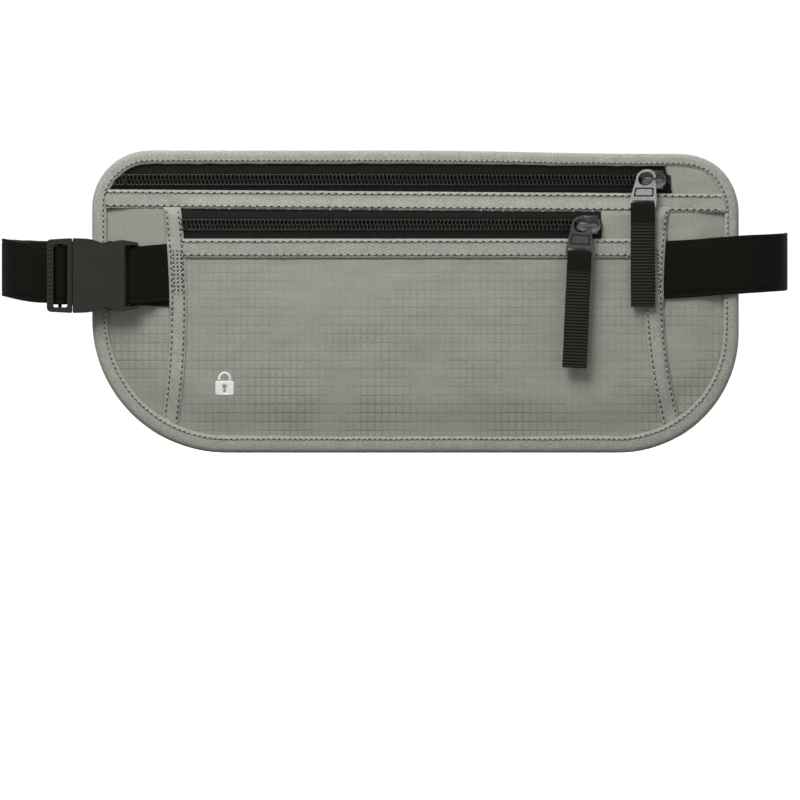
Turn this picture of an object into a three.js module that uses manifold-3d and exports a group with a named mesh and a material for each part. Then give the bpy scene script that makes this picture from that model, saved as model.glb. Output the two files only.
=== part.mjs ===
// Waist money belt: a flat two-pocket pouch on an elastic belt with a side-release buckle.
// Millimetres. +Z is up as worn, -Y is the front face, +X is to the right seen from the front.
// The origin is the centre of the flat rear face of the air-mesh back.
import * as THREE from "three";
import { mergeVertices } from "three/addons/utils/BufferGeometryUtils.js";
import Module from "manifold-3d";

const wasm = await Module();
wasm.setup();

// ---------------------------------------------------------------- driving dimensions
const GAP = 0.3; // room between neighbouring pieces
const POUCH = {
  halfWidth: 140,
  halfHeight: 65.5,
  topLeft: 25,
  topRight: 27,
  bottomRight: 52,
  bottomLeft: 58,
};
const BINDING = { width: 6.5, wall: 0.6, front: -7.2, back: -2.2 };
const EDGE = 1.0; // how far the sewn-in layers stay inside the outline
const INNER = BINDING.width + GAP; // how far the laid-on layers stay inside the outline

// Each layer's front and rear Y.
const LAYER = {
  mesh: [-2.5, 0],
  backPanel: [-3.3, -2.9],
  rearFoil: [-3.9, -3.6],
  frontFoil: [-5.0, -4.7],
  bodyPanel: [-6.4, -5.9],
  mainFacing: [-7.1, -6.7],
  pocketPanel: [-8.3, -7.9],
  outerTrim: [-9.0, -8.6],
};

// The hidden back pocket's slanted mouth, from the top edge down to the right edge.
const BACK_POCKET = { topX: 79, sideX: 131, sideZ: -38, hem: 8 };

const FOIL = { halfWidth: 128, top: 44, bottom: -58 };
const MAIN_FACING = { leftTop: 48.4, rightTop: 46.8, height: 8.2 };
const FRONT_FACING = { top: 27.1, bottom: 18.6 };
const POCKET = { top: 24.7, earTop: 38, earX: 80.7 };

// The pocket's side strips bow outwards: edge X = waist + sag * (Z - waistZ)^2.
const LEFT_STRIP = { side: -1, waist: 106.5, sag: 0.00148, waistZ: -3, width: 7.7, top: 39 };
const RIGHT_STRIP = { side: 1, waist: 107.4, sag: 0.0023, waistZ: 5, width: 8.4, top: 38 };

const ZIP = {
  slit: 0.5, // half the space between the two tapes
  coil: 2.8, // half the closed chain's height
  pitch: 4,
  tooth: 0.6,
  tape: 0.3,
  coilDepth: 1.8,
  stop: 1.3,
  slider: {
    halfLength: 5.5,
    halfHeight: 4,
    plate: 1.2,
    keel: 0.7,
    flank: 0.9,
    neck: [0.5, 3.3], // the neck's reach along X from the slider's middle
    neckHalf: 0.2,
    taper: 2.2, // corner cut at the end that closes the chain
    chamfer: 1, // corner cut at the other end
  },
  bridge: { drop: 5, span: 7.5, bar: 1.3, foot: 0.7, rise: 3.3 },
  ring: { outer: 4.6, inner: 2.6, depth: 1.2, front: 4.9 },
};
const MAIN_ZIP = {
  name: "main",
  face: -5.6,
  z: 52.8,
  tape: [48.0, 62.0],
  ends: [-124.5, 108.6],
  tapeEnds: [-134, 112.5],
  sliderX: 103,
  tabLength: 12.4,
  pullEnd: -2.3,
  tilt: 0,
};
const FRONT_ZIP = {
  name: "front",
  face: -8.2,
  z: 33.3,
  tape: [25.0, 38.0],
  ends: [-98.2, 78.6],
  tapeEnds: [-103, 80.4],
  sliderX: 74.7,
  tabLength: 13.8,
  pullEnd: -28.8,
  tilt: THREE.MathUtils.degToRad(2.6),
};
const WINDOW = { bottom: 48.4, left: -140, right: 111 }; // the body panel's cut-out for the main zip

// The pull tab's foot and the folded webbing that hangs from it. The webbing's hanging part is flush with the
// front of its wrap.
const TAB = { neck: 3.6, halfWidth: 6, shoulder: 1, corner: 0.6, slot: 5.3, slotTop: 2.9, bar: 1.4 };
const PULL = { halfWidth: 5.1, wrap: 1.85, bore: 1.15, thickness: 1.4, merge: 3 };

const STRAP = { width: 25, thickness: 1.4, z: 15, rootInset: 2.4 };
// The belt's plan: front run, small corners, quarter-ellipse flanks and a straight back run.
const LOOP = {
  backY: 137,
  corner: 19,
  left: { x: -179, frontY: -8.8, flankX: -90, riseZ: 11.6 },
  right: { x: 161, frontY: -8.25, flankX: 70, riseZ: 17.6, cornerZ: 16.2 },
};
// The long strap's first points after its root: distance from the root, Y and Z.
const ROOT_RUN = [
  [0, -7.55, 13.5],
  [8, -7.6, 13.9],
  [20, -8.0, 14.8],
];
const SEAM = 3 * GAP; // room between the long strap and its sewn end
// The short strap between its root and the end bar: where each of its two layers bends.
const SHORT_STRAP = {
  rear: [-6.8, -6.9],
  front: -8.2,
  bends: [4.2, 6.5, 7],
  bulge: -9.2,
  eye: [3.6, 4.6, 8.6],
  clear: 0.4,
};

const BUCKLE = { y: -11, z: 11.2 };
const FEMALE = {
  mouth: -148.2,
  end: -119.9,
  front: -14.5,
  back: -7.5,
  mouthHalf: 16.2,
  endHalf: 14.4,
  notch: [-141.5, -127],
  notchDepth: 1.2,
  channelHalf: 13.4,
  channelEnd: -128.5,
  channelDepth: 4,
  windows: [-140.3, -128.5],
  slot: [-126.8, -119.9],
  slotHalf: 12.9,
  bar: 1.2,
  barX: -122.6,
  corner: 1.6,
  edge: 1.1,
  windowReach: 4, // how far the side windows cut beyond the channel
};
const MALE = {
  left: -159.4,
  right: -148.5,
  half: 16.2,
  front: -13.8,
  back: -8.2,
  serratedBar: 2.8,
  slot: [-156.6, -151.0],
  slotHalf: 13.2,
  midBar: 0.8,
  midBarX: -153.8,
  midBarY: -10.6,
  underBar: -9.8,
  tongueEnd: -132,
  tongueHalf: 2.2,
  depth: 3.4,
  corner: 1.4,
  edge: 0.8,
  taper: 0.6, // how much shorter the outer bar is at each end
};
const RIDGE = { pitch: 2, share: 0.55, inset: 0.8, width: 1.6, proud: 0.4 };
const PRONG = {
  pivotX: -146.6,
  pivotZ: 11,
  arm: 1.1,
  knuckle: 1.3,
  belly: [6.5, 14.5],
  tip: 17.4,
  rise: 4.1,
  tipCut: [0.8, 1.6, 0.4],
  shoulder: 1,
  knuckleRoom: 0.6,
  swell: 1.5,
};

const ADJUSTER = {
  x: -60,
  halfWidth: 13.5,
  halfHeight: 17,
  bar: 3.4,
  midBar: 1.6,
  slotHalf: 12.9,
  depth: 2.4,
  corner: 4,
  edge: 0.8,
};
const OVERLAP = 0.5; // how far joined solids run into each other

// ---------------------------------------------------------------- materials
const material = (color, roughness, metalness = 0) =>
  new THREE.MeshStandardMaterial({ color, roughness, metalness });
const ripstop = material(0x8f9086, 0.75);
const greyTape = material(0x9a9b91, 0.8);
const airMesh = material(0x1d1d1e, 0.9);
const foil = material(0xb8babc, 0.35, 0.8);
const zipTape = material(0x121311, 0.85);
const zipCoil = material(0x1a1b19, 0.45);
const gunmetal = material(0x2b2c2d, 0.35, 0.9);
const brightMetal = material(0xa9abab, 0.25, 1);
const webbing = material(0x161714, 0.85);
const elastic = material(0x131410, 0.9);
const acetal = material(0x363633, 0.6);

// ---------------------------------------------------------------- shape helpers
const part = new THREE.Group();

function addMesh(name, geometry, look, parent = part) {
  const mesh = new THREE.Mesh(geometry, look);
  mesh.name = name;
  parent.add(mesh);
  return mesh;
}

function solidOf(geometry) {
  const bare = geometry.clone();
  bare.deleteAttribute("normal");
  bare.deleteAttribute("uv");
  const merged = mergeVertices(bare, 1e-4);
  const vertProperties = new Float32Array(merged.attributes.position.array);
  const triVerts = new Uint32Array(merged.index.array);
  return new wasm.Manifold(new wasm.Mesh({ numProp: 3, vertProperties, triVerts }));
}

function geometryOf(solid) {
  const { vertProperties, triVerts } = solid.getMesh();
  const geometry = new THREE.BufferGeometry();
  geometry.setAttribute("position", new THREE.BufferAttribute(vertProperties, 3));
  geometry.setIndex(new THREE.BufferAttribute(triVerts, 1));
  geometry.computeVertexNormals();
  return geometry;
}

const join = (...pieces) => geometryOf(pieces.map(solidOf).reduce((a, b) => a.add(b)));
const cut = (base, ...tools) => geometryOf(tools.map(solidOf).reduce((a, b) => a.subtract(b), solidOf(base)));
const common = (a, b) => geometryOf(solidOf(a).intersect(solidOf(b)));

const extrude = (shape, depth, curveSegments = 10) =>
  new THREE.ExtrudeGeometry(shape, { depth, curveSegments, bevelEnabled: false });

// A shape drawn in X and Z, as thick as the layer [front Y, rear Y].
function sheet(shape, [front, rear], curveSegments) {
  return extrude(shape, rear - front, curveSegments).rotateX(Math.PI / 2).translate(0, rear, 0);
}

// A shape drawn in X and Y, standing from one Z to another.
function upright(shape, bottom, top) {
  return extrude(shape, top - bottom).translate(0, 0, bottom);
}

// A shape drawn in Y and Z, reaching from one X to another.
function crosswise(shape, left, right) {
  const turn = new THREE.Matrix4().makeBasis(
    new THREE.Vector3(0, 1, 0),
    new THREE.Vector3(0, 0, 1),
    new THREE.Vector3(1, 0, 0),
  );
  return extrude(shape, right - left).applyMatrix4(turn).translate(left, 0, 0);
}

const polygon = (points) => new THREE.Shape(points.map(([x, y]) => new THREE.Vector2(x, y)));
const rectangle = (left, right, bottom, top) =>
  polygon([
    [left, bottom],
    [right, bottom],
    [right, top],
    [left, top],
  ]);

function block([left, right], [front, rear], [bottom, top]) {
  return sheet(rectangle(left, right, bottom, top), [front, rear]);
}

function disc(x, y, radius) {
  const shape = new THREE.Shape();
  shape.absarc(x, y, radius, 0, 2 * Math.PI);
  return shape;
}

// The pouch's outline, drawn inset by a distance.
function outline(inset) {
  const right = POUCH.halfWidth - inset;
  const top = POUCH.halfHeight - inset;
  const corners = [
    [1, 1, POUCH.topRight, 0],
    [-1, 1, POUCH.topLeft, 1],
    [-1, -1, POUCH.bottomLeft, 2],
    [1, -1, POUCH.bottomRight, 3],
  ];
  const shape = new THREE.Shape();
  for (const [sideX, sideZ, radius, turn] of corners) {
    const r = radius - inset;
    const start = (turn * Math.PI) / 2;
    shape.absarc(sideX * (right - r), sideZ * (top - r), r, start, start + Math.PI / 2);
  }
  return shape;
}

const clipped = (geometry, inset, layer) => common(geometry, sheet(outline(inset), layer, 12));

// ---------------------------------------------------------------- pouch layers
function edgeBinding() {
  const layer = [BINDING.front, BINDING.back];
  const channel = [BINDING.front + BINDING.wall, BINDING.back - BINDING.wall];
  return cut(
    sheet(outline(0), layer, 12),
    sheet(outline(BINDING.wall), channel, 12),
    sheet(outline(BINDING.width), [BINDING.front - 1, BINDING.back + 1], 12),
  );
}

// The corner left open over the hidden back pocket, moved outwards by a distance along X.
function pocketCorner(shift) {
  return polygon([
    [BACK_POCKET.topX + shift, POUCH.halfHeight],
    [BACK_POCKET.sideX + shift, BACK_POCKET.sideZ],
    [POUCH.halfWidth + 20, BACK_POCKET.sideZ],
    [POUCH.halfWidth + 20, POUCH.halfHeight],
  ]);
}

function backMesh() {
  const [front, rear] = LAYER.mesh;
  const panel = sheet(outline(INNER), LAYER.mesh, 12);
  return cut(panel, sheet(pocketCorner(-BACK_POCKET.hem / 2 - GAP), [front - 1, rear + 1]));
}

function backPocketHem() {
  const band = polygon([
    [BACK_POCKET.topX - BACK_POCKET.hem / 2, POUCH.halfHeight],
    [BACK_POCKET.sideX - BACK_POCKET.hem / 2, BACK_POCKET.sideZ],
    [BACK_POCKET.sideX + BACK_POCKET.hem / 2, BACK_POCKET.sideZ],
    [BACK_POCKET.topX + BACK_POCKET.hem / 2, POUCH.halfHeight],
  ]);
  return clipped(sheet(band, LAYER.mesh), INNER, LAYER.mesh);
}

function bodyFrontPanel() {
  const [front, rear] = LAYER.bodyPanel;
  const deep = [front - 1, rear + 1];
  const opening = sheet(rectangle(WINDOW.left, WINDOW.right, WINDOW.bottom, POUCH.halfHeight), deep);
  return cut(sheet(outline(EDGE), LAYER.bodyPanel, 12), clipped(opening, BINDING.width, deep));
}

function mainFacingStrip() {
  const reach = POUCH.halfWidth;
  const strip = polygon([
    [-reach, MAIN_FACING.leftTop - MAIN_FACING.height],
    [reach, MAIN_FACING.rightTop - MAIN_FACING.height],
    [reach, MAIN_FACING.rightTop],
    [-reach, MAIN_FACING.leftTop],
  ]);
  return clipped(sheet(strip, LAYER.mainFacing), INNER, LAYER.mainFacing);
}

// A side strip's X at height z, a distance in from its outer edge.
function stripX(strip, z, inwards) {
  return strip.side * (strip.waist + strip.sag * (z - strip.waistZ) ** 2 - inwards);
}

// Points down a side strip's line, a distance in from its outer edge.
function stripLine(strip, inwards, top) {
  const steps = 12;
  const bottom = -POUCH.halfHeight;
  const heights = Array.from({ length: steps + 1 }, (_, i) => top + ((bottom - top) * i) / steps);
  return heights.map((z) => [stripX(strip, z, inwards), z]);
}

function sideStrip(strip) {
  const outer = stripLine(strip, 0, strip.top);
  const inner = stripLine(strip, strip.width, strip.top).reverse();
  return clipped(sheet(polygon([...outer, ...inner]), LAYER.outerTrim), INNER, LAYER.outerTrim);
}

function frontPocketPanel() {
  const left = stripLine(LEFT_STRIP, LEFT_STRIP.width * 0.55, POCKET.top);
  const right = stripLine(RIGHT_STRIP, RIGHT_STRIP.width * 0.55, POCKET.earTop).reverse();
  const ear = [
    [POCKET.earX, POCKET.earTop],
    [POCKET.earX, POCKET.top],
  ];
  return clipped(sheet(polygon([...left, ...right, ...ear]), LAYER.pocketPanel), INNER, LAYER.pocketPanel);
}

function frontFacingStrip() {
  const { top, bottom } = FRONT_FACING;
  const corner = (strip, z) => [stripX(strip, z, strip.width + GAP), z];
  const strip = polygon([
    corner(LEFT_STRIP, bottom),
    corner(RIGHT_STRIP, bottom),
    corner(RIGHT_STRIP, top),
    corner(LEFT_STRIP, top),
  ]);
  return sheet(strip, LAYER.outerTrim);
}

function foilSheet(layer) {
  const { halfWidth, top, bottom } = FOIL;
  return clipped(sheet(rectangle(-halfWidth, halfWidth, bottom, top), layer), INNER + 3, layer);
}

// ---------------------------------------------------------------- zips
// One half of the coil: a bar whose inner edge is toothed. side is 1 above the slit, -1 below.
function coilHalf(zip, side) {
  const [left, right] = zip.ends;
  const { slit, coil, pitch, tooth } = ZIP;
  const at = (height) => zip.z + side * height;
  const points = [
    [right, at(coil)],
    [left, at(coil)],
    [left, at(slit)],
  ];
  for (let x = left + pitch; x < right - pitch / 2; x += pitch) {
    points.push([x - pitch / 2, at(slit)], [x - pitch / 2, at(slit + tooth)]);
    points.push([x, at(slit + tooth)], [x, at(slit)]);
  }
  points.push([right, at(slit)]);
  const shape = polygon(side > 0 ? points : points.reverse());
  return sheet(shape, [zip.face - ZIP.coilDepth, zip.face - 0.1]);
}

function tapeHalf(zip, side) {
  const [left, right] = zip.tapeEnds;
  const layer = [zip.face, zip.face + ZIP.tape];
  const [bottom, top] = side > 0 ? [zip.z + ZIP.slit, zip.tape[1]] : [zip.tape[0], zip.z - ZIP.slit];
  return clipped(sheet(rectangle(left, right, bottom, top), layer), EDGE, layer);
}

function endStop(zip, left) {
  const half = ZIP.coil - 0.8;
  const layer = [zip.face - ZIP.coilDepth, zip.face - 0.1];
  return block([left, left + ZIP.stop], layer, [zip.z - half, zip.z + half]);
}

// Plates in front of and behind the tapes, joined by a neck through the slit, and the bridge for the pull.
function slider(zip) {
  const { halfLength, halfHeight, plate, keel, flank, neck, neckHalf, taper, chamfer } = ZIP.slider;
  const { drop, span, bar, foot, rise } = ZIP.bridge;
  const x = zip.sliderX;
  const front = zip.face - ZIP.coilDepth - GAP;
  const back = zip.face + ZIP.tape + GAP;
  const face = front - plate;
  const touch = 0.1;
  const shield = polygon([
    [x - halfLength, zip.z - halfHeight + taper],
    [x - halfLength + taper, zip.z - halfHeight],
    [x + halfLength - chamfer, zip.z - halfHeight],
    [x + halfLength, zip.z - halfHeight + chamfer],
    [x + halfLength, zip.z + halfHeight - chamfer],
    [x + halfLength - chamfer, zip.z + halfHeight],
    [x - halfLength + taper, zip.z + halfHeight],
    [x - halfLength, zip.z + halfHeight - taper],
  ]);
  const flankAt = (side) => {
    const edges = [zip.z + side * (halfHeight - flank), zip.z + side * halfHeight];
    const along = [x - halfLength + taper, x + halfLength - chamfer];
    return block(along, [front - touch, zip.face - GAP], [Math.min(...edges), Math.max(...edges)]);
  };
  const tall = [zip.z - foot, zip.z + foot];
  const footAt = (footX) => block([footX - foot, footX + foot], [face - rise, face + touch], tall);
  return join(
    sheet(shield, [face, front]),
    sheet(shield, [back, back + keel]),
    flankAt(1),
    flankAt(-1),
    block([x + neck[0], x + neck[1]], [front - touch, back + touch], [zip.z - neckHalf, zip.z + neckHalf]),
    footAt(x - drop),
    footAt(x - drop + span),
    block([x - drop - foot, x - drop + span + foot], [face - rise, face - rise + bar], tall),
  );
}

// The pull tab, drawn hanging from the origin, which is the centre of its ring.
function pullTab(zip) {
  const { outer, inner, depth } = ZIP.ring;
  const { neck, halfWidth, corner, bar, slot, slotTop, shoulder } = TAB;
  const foot = -zip.tabLength;
  const shoulderZ = foot + bar + slotTop + shoulder;
  const layer = [-depth / 2, depth / 2];
  const plate = polygon([
    [-neck, 0],
    [-halfWidth, shoulderZ],
    [-halfWidth, foot + corner],
    [-halfWidth + corner, foot],
    [halfWidth - corner, foot],
    [halfWidth, foot + corner],
    [halfWidth, shoulderZ],
    [neck, 0],
  ]);
  const deep = [-depth, depth];
  return cut(
    join(sheet(disc(0, 0, outer), layer), sheet(plate, layer)),
    sheet(disc(0, 0, inner), deep),
    sheet(rectangle(-slot, slot, foot + bar, foot + bar + slotTop), deep),
  );
}

// The folded webbing, drawn hanging from the origin, which is the centre of the tab's lower bar.
function pullWebbing(length) {
  const { wrap, bore, thickness, merge, halfWidth } = PULL;
  const shape = new THREE.Shape();
  shape.absarc(0, 0, wrap, 0, Math.PI);
  shape.lineTo(-wrap, -length);
  shape.lineTo(thickness - wrap, -length);
  shape.lineTo(thickness - wrap, -merge);
  shape.holes.push(disc(0, 0, bore));
  return crosswise(shape, -halfWidth, halfWidth);
}

function addZip(zip) {
  const [left, right] = zip.ends;
  addMesh(`${zip.name}_zip_tape_upper`, tapeHalf(zip, 1), zipTape);
  addMesh(`${zip.name}_zip_tape_lower`, tapeHalf(zip, -1), zipTape);
  addMesh(`${zip.name}_zip_coil_upper`, coilHalf(zip, 1), zipCoil);
  addMesh(`${zip.name}_zip_coil_lower`, coilHalf(zip, -1), zipCoil);
  addMesh(`${zip.name}_zip_stop_left`, endStop(zip, left - GAP - ZIP.stop), gunmetal);
  addMesh(`${zip.name}_zip_stop_right`, endStop(zip, right + GAP), gunmetal);
  addMesh(`${zip.name}_slider`, slider(zip), gunmetal);

  const pull = new THREE.Group();
  pull.position.set(zip.sliderX - ZIP.bridge.drop, zip.face - ZIP.ring.front + ZIP.ring.depth / 2, zip.z);
  pull.rotation.y = zip.tilt;
  part.add(pull);
  addMesh(`${zip.name}_pull_tab`, pullTab(zip), zip === MAIN_ZIP ? brightMetal : gunmetal, pull);
  const hang = TAB.bar / 2 - zip.tabLength;
  const webbingLength = zip.z + hang - zip.pullEnd;
  const pullPiece = addMesh(`${zip.name}_pull_webbing`, pullWebbing(webbingLength), webbing, pull);
  pullPiece.position.z = hang;
}

// ---------------------------------------------------------------- belt
// A smooth path whose frames keep a strap's width upright.
class UprightPath extends THREE.CatmullRomCurve3 {
  computeFrenetFrames(steps) {
    const up = new THREE.Vector3(0, 0, 1);
    const shares = Array.from({ length: steps + 1 }, (_, i) => i / steps);
    const tangents = shares.map((share) => this.getTangentAt(share));
    const normals = tangents.map((tangent) => new THREE.Vector3().crossVectors(up, tangent).normalize());
    const binormals = tangents.map((tangent, i) => new THREE.Vector3().crossVectors(tangent, normals[i]));
    return { tangents, normals, binormals };
  }
}

function sweepStrap(points, steps) {
  const { width, thickness } = STRAP;
  const section = rectangle(-thickness / 2, thickness / 2, -width / 2, width / 2);
  const extrudePath = new UprightPath(points, false, "centripetal");
  return new THREE.ExtrudeGeometry(section, { extrudePath, steps });
}

// Points round part of an ellipse in plan. Angles are in quarter turns, and z blends between two heights.
function arcPoints(ellipse, [fromTurn, toTurn], [fromZ, toZ], count) {
  return Array.from({ length: count + 1 }, (_, i) => {
    const share = i / count;
    const angle = (THREE.MathUtils.lerp(fromTurn, toTurn, share) * Math.PI) / 2;
    const x = ellipse.x + ellipse.radiusX * Math.cos(angle);
    const y = ellipse.y + ellipse.radiusY * Math.sin(angle);
    return new THREE.Vector3(x, y, THREE.MathUtils.lerp(fromZ, toZ, THREE.MathUtils.smoothstep(share, 0, 1)));
  });
}

function strapLong() {
  const { corner, backY, left, right } = LOOP;
  const rightTurnY = right.frontY + corner;
  const leftTurnY = left.frontY + corner;
  const flankSteps = 10;
  const rootX = RIGHT_STRIP.waist - STRAP.rootInset;
  const backRun = [0.25, 0.5, 0.75].map((share) => THREE.MathUtils.lerp(right.flankX, left.flankX, share));
  const rightCorner = { x: right.x - corner, y: rightTurnY, radiusX: corner, radiusY: corner };
  const rightFlank = {
    x: right.flankX,
    y: rightTurnY,
    radiusX: right.x - right.flankX,
    radiusY: backY - rightTurnY,
  };
  const leftFlank = {
    x: left.flankX,
    y: leftTurnY,
    radiusX: left.flankX - left.x,
    radiusY: backY - leftTurnY,
  };
  const points = [
    ...ROOT_RUN.map(([along, y, z]) => new THREE.Vector3(rootX + along, y, z)),
    ...arcPoints(rightCorner, [-1, 0], [right.cornerZ, right.riseZ], 5),
    ...arcPoints(rightFlank, [0, 1], [right.riseZ, STRAP.z], flankSteps).slice(1),
    ...backRun.map((x) => new THREE.Vector3(x, backY, STRAP.z)),
    ...arcPoints(leftFlank, [1, 2], [STRAP.z, STRAP.z], flankSteps).slice(0, -1),
    new THREE.Vector3(left.x, leftTurnY + SEAM, STRAP.z),
  ];
  return sweepStrap(points, 110);
}

// The strap's end that is sewn round the buckle's middle bar.
function strapBuckleEnd() {
  const { corner, left } = LOOP;
  const half = STRAP.width / 2;
  const leftCorner = { x: left.x + corner, y: left.frontY + corner, radiusX: corner, radiusY: corner };
  const points = [
    ...arcPoints(leftCorner, [2, 3], [STRAP.z, left.riseZ], 6),
    new THREE.Vector3(MALE.midBarX, left.frontY, BUCKLE.z),
  ];
  const outer = MALE.midBar + GAP + STRAP.thickness;
  const ring = disc(MALE.midBarX, MALE.midBarY, outer);
  const bore = disc(MALE.midBarX, MALE.midBarY, MALE.midBar + GAP);
  const bottom = BUCKLE.z - half;
  const top = BUCKLE.z + half;
  return cut(join(sweepStrap(points, 22), upright(ring, bottom, top)), upright(bore, bottom - 2, top + 2));
}

// The short strap that is sewn under the pocket's left strip and folded round the buckle's end bar.
function strapShort() {
  const { barX, bar } = FEMALE;
  const bore = bar + GAP;
  const outer = bore + STRAP.thickness;
  const { y } = BUCKLE;
  const { rear, front, bends, bulge, clear } = SHORT_STRAP;
  const root = -LEFT_STRIP.waist + STRAP.rootInset;
  const shape = new THREE.Shape();
  shape.moveTo(root, rear[0]);
  shape.lineTo(root - bends[2], rear[1]);
  shape.lineTo(barX + 5, y + outer);
  shape.absarc(barX, y, outer, Math.PI / 2, 1.5 * Math.PI);
  shape.lineTo(barX + 4, y - outer + clear);
  shape.lineTo(root - bends[1], bulge);
  shape.lineTo(root - bends[0], front);
  shape.lineTo(root, front);
  const [near, middle, far] = SHORT_STRAP.eye;
  const eye = new THREE.Path();
  eye.absarc(barX, y, bore, Math.PI / 2, 1.5 * Math.PI);
  eye.lineTo(barX + near, y - bore + clear);
  eye.lineTo(barX + far, y + bore - clear);
  eye.lineTo(barX + middle, y + bore);
  shape.holes.push(eye);
  return upright(shape, BUCKLE.z - STRAP.width / 2, BUCKLE.z + STRAP.width / 2);
}

// ---------------------------------------------------------------- buckle
function femaleOutline() {
  const { mouth, end, mouthHalf, endHalf, notch, notchDepth } = FEMALE;
  const edge = (x) => THREE.MathUtils.mapLinear(x, mouth, end, mouthHalf, endHalf);
  const [from, to] = notch;
  const middle = (from + to) / 2;
  const dip = edge(middle) - 2 * notchDepth;
  const round = FEMALE.corner;
  const shape = new THREE.Shape();
  shape.moveTo(mouth, BUCKLE.z - mouthHalf + round);
  shape.lineTo(mouth + round, BUCKLE.z - edge(mouth + round));
  shape.lineTo(from, BUCKLE.z - edge(from));
  shape.quadraticCurveTo(middle, BUCKLE.z - dip, to, BUCKLE.z - edge(to));
  shape.lineTo(end - round, BUCKLE.z - edge(end - round));
  shape.lineTo(end, BUCKLE.z - endHalf + round);
  shape.lineTo(end, BUCKLE.z + endHalf - round);
  shape.lineTo(end - round, BUCKLE.z + edge(end - round));
  shape.lineTo(to, BUCKLE.z + edge(to));
  shape.quadraticCurveTo(middle, BUCKLE.z + dip, from, BUCKLE.z + edge(from));
  shape.lineTo(mouth + round, BUCKLE.z + edge(mouth + round));
  shape.lineTo(mouth, BUCKLE.z + mouthHalf - round);
  return shape;
}

// A shape drawn in X and Z with rounded front and rear edges.
function roundedSheet(shape, [front, rear], round) {
  const options = {
    depth: rear - front - 2 * round,
    bevelEnabled: true,
    bevelThickness: round,
    bevelSize: round,
    bevelOffset: -round,
    bevelSegments: 3,
    curveSegments: 4,
  };
  return new THREE.ExtrudeGeometry(shape, options).rotateX(Math.PI / 2).translate(0, rear - round, 0);
}

function buckleFemale() {
  const { mouth, front, back, channelHalf, channelEnd, channelDepth } = FEMALE;
  const { windows, slot, slotHalf, bar, barX } = FEMALE;
  const { y, z } = BUCKLE;
  const channel = [y - channelDepth / 2, y + channelDepth / 2];
  const shell = cut(
    roundedSheet(femaleOutline(), [front, back], FEMALE.edge),
    block([mouth - 1, channelEnd], channel, [z - channelHalf, z + channelHalf]),
    block(windows, channel, [z - channelHalf - FEMALE.windowReach, z + channelHalf + FEMALE.windowReach]),
    block([slot[0], slot[1] + 1], [front - 1, back + 1], [z - slotHalf, z + slotHalf]),
  );
  const endBar = upright(disc(barX, y, bar), z - slotHalf - OVERLAP, z + slotHalf + OVERLAP);
  return join(shell, endBar);
}

function ladderOutline() {
  const { left, right, half, corner, taper } = MALE;
  const top = BUCKLE.z + half;
  const bottom = BUCKLE.z - half;
  const shape = new THREE.Shape();
  shape.moveTo(left + corner, bottom + taper);
  shape.lineTo(right, bottom);
  shape.lineTo(right, top);
  shape.lineTo(left + corner, top - taper);
  shape.quadraticCurveTo(left, top - taper, left, top - taper - corner);
  shape.lineTo(left, bottom + taper + corner);
  shape.quadraticCurveTo(left, bottom + taper, left + corner, bottom + taper);
  return shape;
}

// Small ridges across the ladder's outer bar, which grip the strap.
function serrations() {
  const { left, front, slotHalf } = MALE;
  const { pitch, share, inset, width, proud } = RIDGE;
  const count = Math.floor((2 * slotHalf) / pitch);
  return Array.from({ length: count }, (_, i) => {
    const bottom = BUCKLE.z - slotHalf + (i + (1 - share) / 2) * pitch;
    const across = [left + inset, left + inset + width];
    return block(across, [front - proud, front + proud / 2], [bottom, bottom + pitch * share]);
  });
}

function buckleMale() {
  const { left, right, front, back, slot, slotHalf, midBar, midBarX, midBarY, underBar } = MALE;
  const { tongueEnd, tongueHalf, depth } = MALE;
  const { y, z } = BUCKLE;
  const frame = cut(
    roundedSheet(ladderOutline(), [front, back], MALE.edge),
    block(slot, [front - 1, back + 1], [z - slotHalf, z + slotHalf]),
    block([left - 1, slot[0] + 1], [underBar, back + 1], [z - slotHalf, z + slotHalf]),
  );
  const core = [y - depth / 2, y + depth / 2];
  const knuckleRoom = PRONG.pivotZ + PRONG.knuckle + PRONG.knuckleRoom;
  return join(
    frame,
    ...serrations(),
    upright(disc(midBarX, midBarY, midBar), z - slotHalf - OVERLAP, z + slotHalf + OVERLAP),
    block([right - OVERLAP, tongueEnd], core, [z - tongueHalf, z + tongueHalf]),
    block([right - OVERLAP, PRONG.pivotX - PRONG.knuckle - GAP], core, [z - knuckleRoom, z + knuckleRoom]),
  );
}

// A springy side arm whose belly fills the female half's side window. side is 1 above, -1 below.
function buckleProng(side) {
  const { pivotX, pivotZ, arm, knuckle, belly, tip, rise, tipCut, shoulder, swell } = PRONG;
  const at = (along, out) => [pivotX + along, BUCKLE.z + side * (pivotZ + out)];
  const [cutAlong, cutFrom, cutTo] = tipCut;
  const points = [at(0, -arm), at(tip - shoulder, -arm), at(tip, 0)];
  points.push(at(tip, rise - cutFrom), at(tip - cutAlong, rise - cutTo));
  const [start, peak] = belly;
  const steps = 5;
  const low = arm + shoulder;
  for (let i = 0; i <= steps; i += 1) {
    const share = i / steps;
    points.push(at(peak + (start - peak) * share, low + (rise - low) * (1 - share) ** swell));
  }
  points.push(at(start - shoulder, arm), at(0, arm));
  const blade = polygon(side > 0 ? points : points.reverse());
  const core = [BUCKLE.y - MALE.depth / 2, BUCKLE.y + MALE.depth / 2];
  const eye = disc(pivotX, BUCKLE.z + side * pivotZ, knuckle);
  return join(sheet(blade, core), sheet(eye, core, 8));
}

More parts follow.
